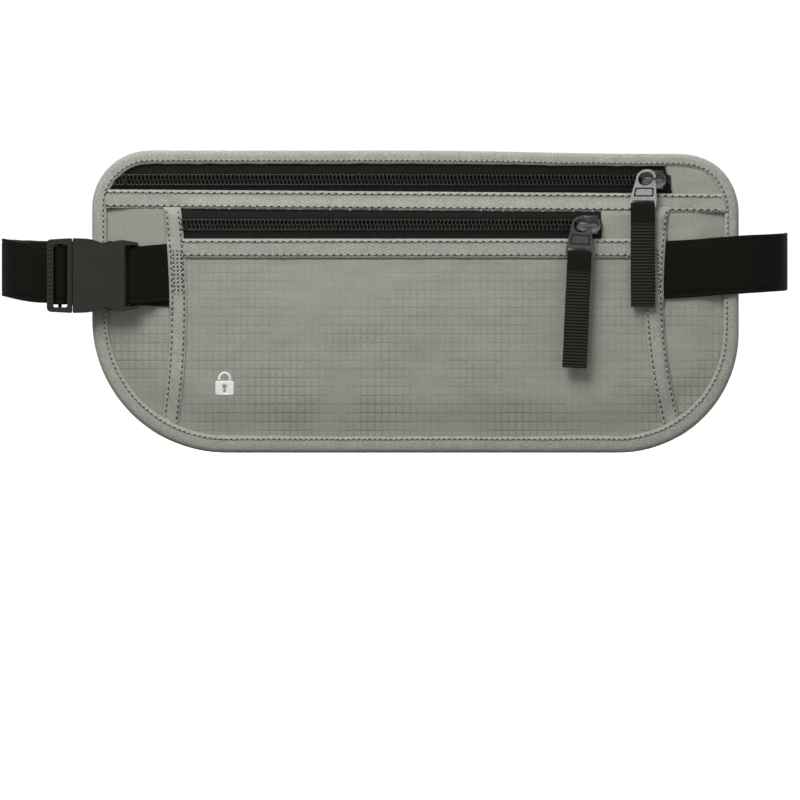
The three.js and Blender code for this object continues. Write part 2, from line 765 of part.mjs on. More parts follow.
// ---------------------------------------------------------------- strap adjuster
function strapAdjuster() {
  const { x, halfWidth, halfHeight, bar, midBar, slotHalf, depth, corner, edge } = ADJUSTER;
  const z = STRAP.z;
  const reach = STRAP.thickness / 2 + GAP;
  const inside = [LOOP.backY - reach - depth, LOOP.backY - reach];
  const outside = [LOOP.backY + reach, LOOP.backY + reach + depth];
  const cornerX = halfWidth - corner;
  const cornerZ = halfHeight - corner;
  const frame = new THREE.Shape();
  [[1, 1], [-1, 1], [-1, -1], [1, -1]].forEach(([sideX, sideZ], turn) => {
    const start = (turn * Math.PI) / 2;
    frame.absarc(x + sideX * cornerX, z + sideZ * cornerZ, corner, start, start + Math.PI / 2);
  });
  const slot = [x - halfWidth + bar, x + halfWidth - bar];
  const tall = [z - slotHalf, z + slotHalf];
  const shell = cut(
    roundedSheet(frame, [inside[0], outside[1]], edge),
    block(slot, [inside[0] - 1, outside[1] + 1], tall),
    block([x - halfWidth - 1, x + halfWidth + 1], [inside[0] - 1, outside[0]], tall),
  );
  return join(shell, block([x - midBar, x + midBar], inside, [tall[0] - OVERLAP, tall[1] + OVERLAP]));
}

// ---------------------------------------------------------------- assembly
addMesh("back_mesh_panel", backMesh(), airMesh);
addMesh("back_pocket_hem", backPocketHem(), greyTape);
addMesh("back_panel", sheet(outline(EDGE), LAYER.backPanel, 12), ripstop);
addMesh("rfid_liner_rear", foilSheet(LAYER.rearFoil), foil);
addMesh("rfid_liner_front", foilSheet(LAYER.frontFoil), foil);
addMesh("body_front_panel", bodyFrontPanel(), ripstop);
addMesh("edge_binding", edgeBinding(), greyTape);
addMesh("main_facing_strip", mainFacingStrip(), greyTape);
addMesh("front_pocket_panel", frontPocketPanel(), ripstop);
addMesh("front_facing_strip", frontFacingStrip(), greyTape);
addMesh("pocket_strip_left", sideStrip(LEFT_STRIP), greyTape);
addMesh("pocket_strip_right", sideStrip(RIGHT_STRIP), greyTape);
addZip(MAIN_ZIP);
addZip(FRONT_ZIP);
addMesh("strap_long", strapLong(), elastic);
addMesh("strap_buckle_end", strapBuckleEnd(), elastic);
addMesh("strap_short", strapShort(), elastic);
addMesh("buckle_female", buckleFemale(), acetal);
addMesh("buckle_male", buckleMale(), acetal);
addMesh("buckle_prong_upper", buckleProng(1), acetal);
addMesh("buckle_prong_lower", buckleProng(-1), acetal);
addMesh("strap_adjuster", strapAdjuster(), acetal);

export default part;
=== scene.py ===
import math

import bmesh
import bpy
import numpy as np
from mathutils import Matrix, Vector, kdtree, noise
from mathutils.geometry import delaunay_2d_cdt


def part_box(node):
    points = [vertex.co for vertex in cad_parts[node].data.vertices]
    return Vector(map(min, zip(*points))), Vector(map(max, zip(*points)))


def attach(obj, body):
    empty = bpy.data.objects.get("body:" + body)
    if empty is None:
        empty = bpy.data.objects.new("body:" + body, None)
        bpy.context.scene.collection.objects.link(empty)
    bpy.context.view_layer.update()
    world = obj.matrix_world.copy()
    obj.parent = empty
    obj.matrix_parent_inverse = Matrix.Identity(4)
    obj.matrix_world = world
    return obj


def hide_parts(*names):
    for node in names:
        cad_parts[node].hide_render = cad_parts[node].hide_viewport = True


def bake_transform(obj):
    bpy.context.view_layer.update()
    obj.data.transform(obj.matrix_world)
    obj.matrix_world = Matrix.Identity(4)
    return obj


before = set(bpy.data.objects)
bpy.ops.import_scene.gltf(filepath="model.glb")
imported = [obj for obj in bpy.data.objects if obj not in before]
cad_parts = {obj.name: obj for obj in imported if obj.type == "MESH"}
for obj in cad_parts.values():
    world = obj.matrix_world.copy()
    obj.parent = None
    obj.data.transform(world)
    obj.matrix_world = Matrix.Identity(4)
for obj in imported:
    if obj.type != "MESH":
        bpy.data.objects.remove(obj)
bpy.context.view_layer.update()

# Lengths are in millimetres in the row frame: X right, Y away from the viewer, Z up.
# Meshes are made in metres.
MM = 0.001

POUCH_HALF_W = 140.0
POUCH_HALF_H = 65.5
CORNERS = ((1, 1, 27.0), (-1, 1, 25.0), (-1, -1, 58.0), (1, -1, 52.0))  # side x, side z, radius
TOP_SAG = 1.4  # how far the top edge sinks towards +X

# Y of each layer of the pouch where it lies flat, from the front to the rear.
OVER_STRAP_Y, EAR_Y, BINDING_Y = -8.75, -8.25, -6.98
STRIP_Y, POCKET_Y, BODY_Y, BACK_Y, MESH_Y, BINDING_REAR_Y = -6.75, -5.8, -5.5, -3.2, -2.65, -2.03

# The wrinkles of each cloth: depth, size, seed.
BODY_WRINKLES = ((0.6, 17.0, 3.1), (0.22, 6.5, 8.4))
POCKET_WRINKLES = ((0.62, 27.0, 1.7), (0.2, 9.0, 5.2))

BINDING_W = 6.3
UNDER_BINDING = 4.6  # the cloth's edge lies this far in from the pouch's edge, under the tape
HELD = 6.2  # the binding holds the cloth flat this far in
STRIP_END = 5.2  # the strips end this far in

# The front pocket's side strips bow outwards: edge X = waist + sag * (Z - waist_z)^2.
# strap_z is the middle of the strap that is sewn in under each.
LEFT_STRIP = {"side": -1, "waist": 106.5, "sag": 0.00148, "waist_z": -3.0, "width": 7.7, "strap_z": 11.2}
RIGHT_STRIP = {"side": 1, "waist": 107.4, "sag": 0.0023, "waist_z": 5.0, "width": 8.4, "strap_z": 13.9}
STRIP_TOP = 40.9
# What lies under the main strip is tucked in: from which Z to which, and how deep.
STRIP_TUCK = {"z": (37.3, 41.2), "y": -7.4}
EAR_TUCK = {"z": (37.3, 41.0), "y": -7.45}

MAIN_STRIP = {"left": (48.6, 40.4), "right": (46.6, 38.3)}  # top and bottom Z at each end
FRONT_STRIP = {"top": 27.2, "bottom": 18.6}
ZIP_END_FOLD = {"x": 107.7, "z": 59.5, "slope": 0.27}  # the folded edge of the cloth beyond the main zip

# Each seam's stitch pitch and thread radius.
BINDING_SEAM, BINDING_REAR_SEAM = (2.3, 0.27), (2.6, 0.28)
FACING_SEAM, SIDE_SEAM, BAR_TACK, HEM_SEAM = (3.1, 0.3), (2.5, 0.3), (1.75, 0.34), (2.8, 0.27)

# tuck is the Z from where the tape is tucked under the main strip. tab holds the pull tab's hanging
# point and shape, and pull the webbing's fold at the tab's lower bar.
MAIN_ZIP = {
    "name": "main", "face": -5.6, "z": 52.8, "x": (-133.0, 108.6), "tape": (47.0, 62.5), "tuck": 70.0,
    "slider_x": 103.0, "hang_y": -9.9, "tilt": 0.0,
    "tab": {"x": 98.0, "z": 52.8, "length": 12.4, "lean": 1.6},
    "pull": {"x": 98.3, "z": 41.1, "length": 43.4},
}
FRONT_ZIP = {
    "name": "front", "face": -8.2, "z": 33.3, "x": (-101.6, 79.4), "tape": (25.0, 40.6), "tuck": 36.6,
    "slider_x": 74.7, "hang_y": -12.5, "tilt": math.radians(2.6),
    "tab": {"x": 71.3, "z": 32.5, "length": 13.0, "lean": 0.4},
    "pull": {"x": 70.9, "z": 20.2, "length": 49.0},
}
TOOTH = {"pitch": 1.69, "radius": 0.41, "reach": 2.75, "slant": 0.6}
SLIDER = {"half_length": 5.5, "half_height": 3.9, "rise": 2.1, "rail": 3.55}
BRIDGE = {"half_span": 4.7, "height": 3.4, "section": (0.55, 0.8)}
TAB = {
    "ring": (4.3, 4.1), "eye": (3.35, 3.0), "neck": 4.95, "foot": 5.95,
    "bar": 1.4, "slot": 2.0, "half_t": 0.6,
}
WEBBING_HALF_W = 5.25
WEBBING_RIB = {"period": 1.36, "height": 0.24, "base": 0.22}

STRAP_W = 25.0
STRAP_T = 1.4
STRAP_Z = 15.0
BUCKLE_Z = 11.2
LOOP_BACK = 137.0
LOOP_CORNER = 19.0
LEFT_RUN = {"x": -179.0, "front": -8.8, "flank": -90.0}
RIGHT_RUN = {"x": 161.0, "front": -8.25, "flank": 70.0}
BUCKLE_BAR = (-122.6, -11.0)  # X and Y of the bar that the short strap wraps
CLASP_Y = (-12.7, -9.3)  # the tongue and the side arms, front and rear

MOUTH = {"top_x": 79.0, "side_x": 131.0, "side_z": -38.0, "hem": 4.0}
MOUTH_ANGLE = math.atan2(MOUTH["side_x"] - MOUTH["top_x"], POUCH_HALF_H - MOUTH["side_z"])
AIR_CELL = (4.6, 3.0)
AIR_HOLE = (1.5, 0.82)
MARK = {"x": -82.6, "z": -35.5}

VIEW = {"x": -6.7, "z": -42.6, "distance": 5000.0, "width": 346.24, "plane_y": -8.0}
SENSOR = 36.0
# Light from below and from above, and the white that the camera sees.
SKY = {"low": 0.16, "high": 0.62, "seen": 1.05}
# name, place in metres, size in metres, watts
LIGHTS = (
    ("key", (-0.22, -0.5, 0.62), 0.42, 7.1),
    ("fill", (1.3, -1.4, 0.3), 0.9, 2.5),
    ("rear", (0.7, 1.5, 1.2), 0.9, 40.0),
)

# Faces larger than this, in square metres, or facing straight along Y, are shaded flat on hard pieces.
FLAT_AREA = 8e-6
FACING_Y = 0.999


# ------------------------------------------------------------------ numbers and outlines
def smooth(value, low, high):
    """0 up to low, 1 from high on, with an even slope between them."""
    t = np.clip((np.asarray(value, float) - low) / (high - low), 0, 1)
    return t * t * (3 - 2 * t)


def ripple(x, z, size, seed):
    """Soft noise between about -1 and 1 at points in mm, with bumps of the given size."""
    places = zip(np.ravel(x), np.ravel(z))
    return np.array([noise.noise(Vector((a / size, seed, b / size))) for a, b in places])


def wrinkles(x, z, waves):
    """Several layers of soft noise, each a (depth, size, seed)."""
    return sum(depth * ripple(x, z, size, seed) for depth, size, seed in waves)


def resample(points, step, closed=False):
    """The same line with points evenly spaced, about step apart."""
    line = np.array(points, float)
    if closed:
        line = np.vstack([line, line[:1]])
    lengths = np.linalg.norm(np.diff(line, axis=0), axis=1)
    along = np.concatenate([[0], np.cumsum(lengths)])
    count = max(2, int(round(along[-1] / step)))
    at = np.linspace(0, along[-1], count + 1)
    if closed:
        at = at[:-1]
    return np.column_stack([np.interp(at, along, line[:, k]) for k in range(line.shape[1])])


def arc(cx, cy, rx, ry, start, end, count=14):
    """Points round part of an ellipse; angles in quarter turns."""
    return [(cx + rx * math.cos(a * math.pi / 2), cy + ry * math.sin(a * math.pi / 2))
            for a in np.linspace(start, end, count)]


def rectangle(left, right, bottom, top):
    return np.array([(left, bottom), (right, bottom), (right, top), (left, top)])


def rounded(points, radius, steps=5):
    """A polygon with each corner replaced by a short curve; radius is one number, or one for each corner."""
    points = np.array(points, float)
    radii = np.broadcast_to(radius, len(points))
    out = []
    for k, corner in enumerate(points):
        before, after = points[k - 1] - corner, points[(k + 1) % len(points)] - corner
        a, b = (v / np.linalg.norm(v) * min(radii[k], 0.49 * np.linalg.norm(v)) for v in (before, after))
        for t in np.linspace(0, 1, steps):
            out.append(corner + a * (1 - t) ** 2 + b * t ** 2)
    return np.array(out)


def turned(points, centre, angle):
    """Points in a plane, turned about the origin and then moved to a centre."""
    c, s = math.cos(angle), math.sin(angle)
    return np.asarray(points) @ np.array([(c, -s), (s, c)]) + centre


def outline(inset=0.0, step=1.5):
    """The pouch's edge, seen from the front, moved inwards."""
    points = []
    for turn, (side_x, side_z, radius) in enumerate(CORNERS):
        x, z, r = side_x * (POUCH_HALF_W - radius), side_z * (POUCH_HALF_H - radius), radius - inset
        points += arc(x, z, r, r, turn, turn + 1, 25)
    return resample(points, step, closed=True)


def edge_distance(x, z):
    """How far a point is inside the pouch's edge."""
    x, z = np.asarray(x, float), np.asarray(z, float)
    distance = np.minimum(POUCH_HALF_W - abs(x), POUCH_HALF_H - abs(z))
    for side_x, side_z, radius in CORNERS:
        dx = side_x * x - (POUCH_HALF_W - radius)
        dz = side_z * z - (POUCH_HALF_H - radius)
        distance = np.where((dx > 0) & (dz > 0), radius - np.hypot(dx, dz), distance)
    return distance


def clip(points, *planes):
    """The part of a polygon where a * x + b * z <= c, for each plane (a, b, c)."""
    for a, b, c in planes:
        kept = []
        for p, q in zip(points, np.roll(points, -1, axis=0)):
            inside_p, inside_q = a * p[0] + b * p[1] <= c, a * q[0] + b * q[1] <= c
            if inside_p:
                kept.append(p)
            if inside_p != inside_q:
                t = (c - a * p[0] - b * p[1]) / (a * (q[0] - p[0]) + b * (q[1] - p[1]))
                kept.append(p + t * (q - p))
        points = np.array(kept)
    return points


def outline_planes(inset):
    """The planes for clip() that keep what lies inside the pouch's edge, moved inwards."""
    edge = outline(inset, 5.0)
    planes = []
    for p, q in zip(edge, np.roll(edge, -1, axis=0)):
        a, b = q[1] - p[1], p[0] - q[0]
        planes.append((a, b, a * p[0] + b * p[1]))
    return planes


def inside(polygon, x, z):
    """Which points are inside a polygon, by counting the edges to their right."""
    hits = np.zeros(len(x), bool)
    for p, q in zip(polygon, np.roll(polygon, -1, axis=0)):
        crosses = (p[1] > z) != (q[1] > z)
        with np.errstate(divide="ignore", invalid="ignore"):
            at = p[0] + (z - p[1]) * (q[0] - p[0]) / (q[1] - p[1])
        hits ^= crosses & (x < at)
    return hits


def within(loops, points):
    """Which points are inside the first loop and outside the others."""
    keep = inside(loops[0], points[:, 0], points[:, 1])
    for loop in loops[1:]:
        keep &= ~inside(loop, points[:, 0], points[:, 1])
    return keep


def strip_x(strip, z, inwards):
    """X of a line along a side strip, at a distance inwards from its outer edge."""
    return strip["side"] * (strip["waist"] + strip["sag"] * (np.asarray(z) - strip["waist_z"]) ** 2 - inwards)


def mouth_level(shift):
    """The constant c of the hidden pocket's mouth as x cos a + z sin a = c, moved by a distance."""
    return MOUTH["top_x"] * math.cos(MOUTH_ANGLE) + POUCH_HALF_H * math.sin(MOUTH_ANGLE) + shift


def mouth_cut(side, shift):
    """The plane for clip() that keeps one side of the mouth's line, moved by a distance."""
    return side * math.cos(MOUTH_ANGLE), side * math.sin(MOUTH_ANGLE), side * mouth_level(shift)


def past_mouth(x, z):
    """How far a point is beyond the mouth's line, towards the open corner."""
    return np.asarray(x) * math.cos(MOUTH_ANGLE) + np.asarray(z) * math.sin(MOUTH_ANGLE) - mouth_level(0)


# ------------------------------------------------------------------ mesh building
def build(name, vertices, faces, material, slot, body="pouch", replaces=()):
    """A new piece from vertices in mm, riding on a body. The pouch's pieces share its sagging top edge."""
    vertices = np.array(vertices, float)
    if body == "pouch":
        x, z = vertices[:, 0], vertices[:, 2]
        vertices[:, 2] -= TOP_SAG * smooth(x, 0, 100) * smooth(-x, -139, -112) * smooth(z, 54, 63)
    mesh = bpy.data.meshes.new(name)
    mesh.from_pydata((vertices * MM).tolist(), [], [list(map(int, f)) for f in faces])
    mesh.validate()
    mesh.materials.append(material)
    for polygon in mesh.polygons:
        polygon.use_smooth = True
    piece = bpy.data.objects.new(name, mesh)
    bpy.context.scene.collection.objects.link(piece)
    if body:
        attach(piece, body)
    if replaces:
        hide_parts(*replaces)
    return piece


def repaint(node, look):
    """Gives a carried-over CAD node a new material."""
    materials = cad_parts[node].data.materials
    materials.clear()
    materials.append(look)


def face_outwards(piece):
    """Turns every face of a closed mesh outwards."""
    shape = bmesh.new()
    shape.from_mesh(piece.data)
    bmesh.ops.recalc_face_normals(shape, faces=shape.faces)
    shape.to_mesh(piece.data)
    shape.free()
    return piece


def mark_points(piece, name, values):
    """Stores a number at each point of the mesh, for its material to read."""
    attribute = piece.data.attributes.new(name, "FLOAT", "POINT")
    attribute.data.foreach_set("value", np.asarray(values, np.float32))


def thicken(piece, thickness):
    """Gives a sheet its thickness, behind the face that is seen."""
    piece.modifiers.new("thickness", "SOLIDIFY").thickness = thickness * MM
    return piece


def triangulate(points, loops, tolerance):
    """Fills the first loop, less the others, with triangles. The points start with the loops' own."""
    edges, first = [], 0
    for loop in loops:
        edges += [(first + i, first + (i + 1) % len(loop)) for i in range(len(loop))]
        first += len(loop)
    found = delaunay_2d_cdt([Vector(p) for p in points], edges, [], 0, tolerance)
    points, triangles = np.array([tuple(p) for p in found[0]]), np.array(found[2])
    return points, triangles[within(loops, points[triangles].mean(1))], edges


def sheet_mesh(boundary, spacing, holes=()):
    """Points in X and Z, and triangles, that fill an outline without its holes."""
    loops = [resample(loop, spacing, closed=True) for loop in (boundary, *holes)]
    rim = np.vstack(loops)
    tree = kdtree.KDTree(len(rim))
    for i, (x, z) in enumerate(rim):
        tree.insert((x, z, 0), i)
    tree.balance()
    low, high = rim.min(0), rim.max(0)
    grid = []
    for k, z in enumerate(np.arange(low[1], high[1], spacing * math.sqrt(3) / 2)):
        shift = spacing / 2 * (k % 2)
        grid.extend((x + shift, z) for x in np.arange(low[0], high[0], spacing))
    grid = np.array(grid)
    grid = np.array([p for p in grid[within(loops, grid)] if tree.find((p[0], p[1], 0))[2] > spacing * 0.6])
    points = np.vstack([rim, grid]) if len(grid) else rim
    return triangulate(points, loops, 1e-6)[:2]


def slab(loop, front, rear, holes=()):
    """A closed flat solid between two Ys."""
    loops = [np.asarray(points, float) for points in (loop, *holes)]
    points = np.vstack(loops)
    triangles, edges = triangulate(points, loops, 1e-7)[1:]
    count = len(points)
    vertices = [(x, y, z) for y in (front, rear) for x, z in points]
    faces = [tuple(t) for t in triangles] + [tuple(t + count)[::-1] for t in triangles]
    faces += [(b, a, a + count, b + count) for a, b in edges]
    return np.array(vertices), faces


def panel(name, boundary, spacing, height, material, slot, holes=(), rear=False, thickness=0.4, **kind):
    """A cloth panel over an outline, lying at Y = height(x, z). rear panels face +Y."""
    points, triangles = sheet_mesh(boundary, spacing, holes)
    vertices = np.column_stack([points[:, 0], height(points[:, 0], points[:, 1]), points[:, 1]])
    faces = triangles[:, ::-1] if rear else triangles
    return thicken(build(name, vertices, faces, material, slot, **kind), thickness)


def sewn_sheet(loop):
    """Works out the area of a panel cut to an outline in mm; nothing is done with it."""
    x, z = loop[:, 0], loop[:, 1]
    area = abs(np.sum(x * np.roll(z, -1) - np.roll(x, -1) * z)) / 2


def loft(rows, closed_rows=False, closed_columns=False):
    """Vertices and quads through rows of points, each row an equally long list."""
    rows = np.asarray(rows, float)
    count, width = rows.shape[:2]
    faces = []
    for i in range(count if closed_rows else count - 1):
        for j in range(width if closed_columns else width - 1):
            a, b = i * width + j, i * width + (j + 1) % width
            c, d = (i + 1) % count * width + (j + 1) % width, (i + 1) % count * width + j
            faces.append((a, b, c, d))
    return rows.reshape(-1, 3), faces


def capped_loft(rows):
    """A closed body from rings of points, with a flat face at each end."""
    vertices, faces = loft(rows, closed_columns=True)
    width = len(rows[0])
    faces.append(tuple(range(width))[::-1])
    faces.append(tuple(range(len(vertices) - width, len(vertices))))
    return vertices, faces


def rod(section, levels):
    """A straight closed bar along Z from a section in X and Y."""
    return capped_loft([[(x, y, z) for x, y in section] for z in levels])


def merged(parts):
    """One vertex list and one face list from several."""
    vertices, faces, first = [], [], 0
    for part_vertices, part_faces in parts:
        vertices.append(part_vertices)
        faces += [tuple(first + i for i in face) for face in part_faces]
        first += len(part_vertices)
    return np.vstack(vertices), faces


def bead(start, end, outward, radius, bow=0.0, sides=6):
    """A round-ended thread or tooth from start to end, bowed outwards in its middle."""
    start, end, outward = (np.asarray(v, float) for v in (start, end, outward))
    along = end - start
    across = np.cross(outward, along / np.linalg.norm(along))
    angles = np.arange(sides) * 2 * math.pi / sides
    rings = []
    for share, size, lift in ((0, 0.35, 0), (0.12, 0.85, 0.5), (0.5, 1, 1), (0.88, 0.85, 0.5), (1, 0.35, 0)):
        centre = start + along * share + outward * bow * lift
        rings.append([centre + radius * size * (math.cos(a) * across + math.sin(a) * outward)
                      for a in angles])
    return capped_loft(rings)


def tube(path, section_y, section_z, sides=10):
    """A closed bar along a path of (x, y, z), with a squarish oval section across it."""
    path = np.asarray(path, float)
    angles = (np.arange(sides) + 0.5) * 2 * math.pi / sides
    section = [[math.copysign(abs(v) ** 0.6, v) for v in (math.cos(a), math.sin(a))] for a in angles]
    rings = []
    for k, centre in enumerate(path):
        along = path[min(k + 1, len(path) - 1)] - path[max(k - 1, 0)]
        across = np.array([-along[1], along[0], 0.0])
        across /= np.linalg.norm(across)
        rings.append([centre + across * c * section_y + np.array([0, 0, s * section_z]) for c, s in section])
    return capped_loft(rings)


def soften(piece, width, segments=3, last=True):
    """Rounds the piece's sharp edges, and keeps its flat faces shaded flat."""
    face_outwards(piece)
    bevel = piece.modifiers.new("edges", "BEVEL")
    bevel.width = width * MM
    bevel.segments = segments
    bevel.limit_method = "ANGLE"
    bevel.angle_limit = math.radians(35)
    bevel.use_clamp_overlap = True
    if last:
        for polygon in piece.data.polygons:
            polygon.use_smooth = polygon.area < FLAT_AREA and abs(polygon.normal.y) < FACING_Y
        normals = piece.modifiers.new("flat_faces", "WEIGHTED_NORMAL")
        normals.weight = 100
        normals.keep_sharp = True
    return piece


def baked(piece):
    """Applies the piece's modifiers."""
    graph = bpy.context.evaluated_depsgraph_get()
    mesh = bpy.data.meshes.new_from_object(piece.evaluated_get(graph))
    piece.modifiers.clear()
    piece.data = mesh
    return piece


def cut_away(piece, solids):
    """Cuts closed solids out of the piece."""
    tool = face_outwards(build("cutter", *merged(solids), ACETAL, "acetal", body=None))
    boolean = piece.modifiers.new("cut", "BOOLEAN")
    boolean.object = tool
    boolean.operation = "DIFFERENCE"
    boolean.solver = "EXACT"
    boolean.use_self = True
    baked(piece)
    bpy.data.objects.remove(tool)


def moulded(name, solid, corner, cuts, edge, body, node):
    """A plastic part: a solid with round corners, cut open step by step, with its new edges softened."""
    piece = build(name, *solid, ACETAL, "acetal", body, replaces=[node])
    baked(soften(piece, corner, 4, last=False))
    for solids in cuts:
        cut_away(piece, solids)
    return soften(piece, edge, 2)


# ------------------------------------------------------------------ materials
class Look:
    """A material's node tree, with short calls for the nodes it needs."""

    def __init__(self, name, color, roughness, metallic=0.0):
        self.material = bpy.data.materials.new(name)
        self.material.use_nodes = True
        self.nodes = self.material.node_tree.nodes
        self.links = self.material.node_tree.links
        self.shader = self.nodes["Principled BSDF"]
        self.color = (*color, 1)
        self.shader.inputs["Base Color"].default_value = self.color
        self.shader.inputs["Roughness"].default_value = roughness
        self.shader.inputs["Metallic"].default_value = metallic
        self.place = self.nodes.new("ShaderNodeTexCoord").outputs["Object"]

    def node(self, kind, values=(), **settings):
        made = self.nodes.new(kind)
        for key, value in settings.items():
            setattr(made, key, value)
        for socket, value in values:
            if hasattr(value, "is_output"):
                self.links.new(value, made.inputs[socket])
            else:
                made.inputs[socket].default_value = value
        return made

    def math(self, operation, a, b=0.0, c=0.0):
        values = ((0, a), (1, b), (2, c))
        return self.node("ShaderNodeMath", values, operation=operation).outputs[0]

    def axis(self, index, scale=(1, 1, 1)):
        scaled = self.node("ShaderNodeVectorMath", ((0, self.place), (1, scale)), operation="MULTIPLY")
        return self.node("ShaderNodeSeparateXYZ", ((0, scaled.outputs[0]),)).outputs[index]

    def wave(self, coordinate, period, phase=0.0):
        """A sine from 0 to 1 with the given period in mm."""
        turned = self.math("MULTIPLY_ADD", coordinate, 2 * math.pi / (period * MM), phase)
        return self.math("MULTIPLY_ADD", self.math("SINE", turned), 0.5, 0.5)

    def grain(self, size, detail=3.0, stretch=(1, 1, 1)):
        """Noise from 0 to 1 with grains of the given size in mm."""
        place = self.node("ShaderNodeMapping", (("Vector", self.place), ("Scale", stretch))).outputs[0]
        values = (("Vector", place), ("Scale", 1 / (size * MM)), ("Detail", detail))
        return self.node("ShaderNodeTexNoise", values).outputs["Fac"]

    def remap(self, value, low, high, to_low=0.0, to_high=1.0):
        values = ((0, value), (1, low), (2, high), (3, to_low), (4, to_high))
        return self.node("ShaderNodeMapRange", values).outputs[0]

    def shade(self, factor, dark, light=1.0):
        """Base colour times a grey from dark to light, by the factor."""
        grey = self.remap(factor, 0.0, 1.0, dark, light)
        values = ((0, grey), (1, self.color[:3]))
        tinted = self.node("ShaderNodeVectorMath", values, operation="MULTIPLY").outputs[0]
        self.links.new(tinted, self.shader.inputs["Base Color"])

    def bump(self, height, distance, strength=1.0):
        values = (("Height", height), ("Distance", distance * MM), ("Strength", strength))
        normal = self.node("ShaderNodeBump", values).outputs[0]
        self.links.new(normal, self.shader.inputs["Normal"])

    def rough(self, factor, low, high):
        self.links.new(self.remap(factor, 0, 1, low, high), self.shader.inputs["Roughness"])

    def cloth(self, specular, sheen=0.0):
        """The finished material, with a cloth's weak gloss and soft sheen."""
        self.shader.inputs["Specular IOR Level"].default_value = specular
        self.shader.inputs["Sheen Weight"].default_value = sheen
        self.shader.inputs["Sheen Roughness"].default_value = 0.5
        return self.material


def ripstop_look():
    """Grey nylon with a grid of fine grooves that comes and goes, and is faint near the top."""
    look = Look("ripstop", (0.275, 0.280, 0.238), 0.6)
    x, z = look.axis(0), look.axis(2)
    line_x = look.math("POWER", look.wave(x, 3.05), 9.0)
    line_z = look.math("POWER", look.wave(z, 3.8), 10.0)
    grid = look.math("MAXIMUM", line_x, line_z)
    patchy = look.remap(look.grain(30.0, 1.0), 0.35, 0.62, 0.25, 1.0)
    lower = look.remap(z, 0.030, -0.030, 0.25, 1.0)
    grid = look.math("MULTIPLY", grid, look.math("MULTIPLY", patchy, lower))
    weave = look.math("MULTIPLY", look.wave(x, 0.5), look.wave(z, 0.5))
    grain = look.grain(0.9, 3.0)
    cloudy = look.remap(look.grain(14.0, 2.0, (1, 1, 2.2)), 0.3, 0.7, 0.0, 0.3)
    tone = look.math("ADD", look.remap(grain, 0.25, 0.75, 0.4, 0.85), cloudy)
    look.shade(look.math("MULTIPLY_ADD", grid, -0.62, tone), 0.74, 1.08)
    height = look.math("MULTIPLY_ADD", grid, -1.0, look.math("MULTIPLY", weave, 0.3))
    look.bump(look.math("ADD", height, look.math("MULTIPLY", grain, 0.4)), 0.2, 0.8)
    look.rough(grain, 0.5, 0.68)
    return look.cloth(0.3, 0.04)


def tape_look():
    """Grey woven tape and folded strips: a speckled plain weave without the ripstop's grid."""
    look = Look("grey_tape", (0.335, 0.340, 0.298), 0.78)
    speckle = look.grain(0.55, 4.0)
    broad = look.grain(6.0, 2.0)
    tone = look.math("MULTIPLY_ADD", broad, 0.4, look.remap(speckle, 0.36, 0.64, -0.05, 0.7))
    look.shade(tone, 0.7, 1.22)
    look.bump(speckle, 0.3, 1.0)
    look.rough(speckle, 0.7, 0.88)
    return look.cloth(0.2, 0.05)


def thread_look(name, color):
    look = Look(name, color, 0.6)
    look.shade(look.grain(0.6, 2.0), 0.7, 1.2)
    look.bump(look.grain(0.35, 1.0), 0.05, 0.6)
    return look.cloth(0.2)


def woven_look(name, color, rib_axis, rib_period, roughness=0.8, depth=0.12, specular=0.12):
    """Black woven stuff with ribs across one axis and a fine weave over them."""
    look = Look(name, color, roughness)
    ribs = look.wave(look.axis(rib_axis), rib_period)
    fibre = look.grain(0.5, 3.0)
    look.shade(look.math("MULTIPLY_ADD", ribs, 0.6, look.math("MULTIPLY", fibre, 0.5)), 0.4, 1.6)
    look.bump(look.math("MULTIPLY_ADD", fibre, 0.5, ribs), depth, 0.8)
    look.rough(fibre, roughness - 0.1, roughness + 0.08)
    return look.cloth(specular)


def webbing_look():
    """Black ribbed webbing. The mesh stores how high each rib stands; the material paints a highlight on each
    ridge and painted shade in the valleys.
    """
    look = Look("pull_webbing", (0.0058, 0.006, 0.0045), 0.7)
    rib = look.node("ShaderNodeAttribute", attribute_name="rib").outputs["Fac"]
    fibre = look.grain(0.4, 3.0, (1, 1, 3))
    ridge = look.math("POWER", rib, 3.2)
    tone = look.math("MULTIPLY_ADD", ridge, 0.85, look.math("MULTIPLY", fibre, 0.2))
    # Painted highlight on the ridges and painted shade in the valleys, from the stored rib height.
    look.shade(tone, 0.05, 7.0)
    look.bump(fibre, 0.08, 0.8)
    look.rough(fibre, 0.55, 0.8)
    return look.cloth(0.04)


def elastic_look():
    """Black elastic: fine ribs along it, and a paler line inside each edge, marked by the mesh: the real
    woven line, with a painted highlight on its ridge.
    """
    look = Look("elastic", (0.0042, 0.0045, 0.0032), 0.85)
    line = look.node("ShaderNodeAttribute", attribute_name="edge_ridge_highlight").outputs["Fac"]
    ribs = look.wave(look.axis(2), 0.8)
    fibre = look.grain(0.5, 3.0)
    tone = look.math("MULTIPLY_ADD", ribs, 0.25, look.math("MULTIPLY", fibre, 0.25))
    # Paler on the marked ridge: a painted highlight over the real woven line.
    look.shade(look.math("MULTIPLY_ADD", line, 0.5, tone), 0.5, 3.4)
    look.bump(look.math("MULTIPLY_ADD", fibre, 0.5, ribs), 0.07, 0.8)
    look.rough(fibre, 0.75, 0.93)
    return look.cloth(0.06)


def plastic_look(name, color, roughness, specular=0.3, grain_size=0.35):
    """Moulded plastic with a fine spark-eroded grain and faint flow marks."""
    look = Look(name, color, roughness)
    grain = look.grain(grain_size, 2.0)
    cloudy = look.grain(9.0, 2.0)
    look.shade(look.math("MULTIPLY_ADD", cloudy, 0.5, look.math("MULTIPLY", grain, 0.4)), 0.86, 1.12)
    look.bump(grain, 0.03, 0.5)
    look.rough(cloudy, roughness - 0.06, roughness + 0.08)
    look.shader.inputs["Specular IOR Level"].default_value = specular
    return look.material


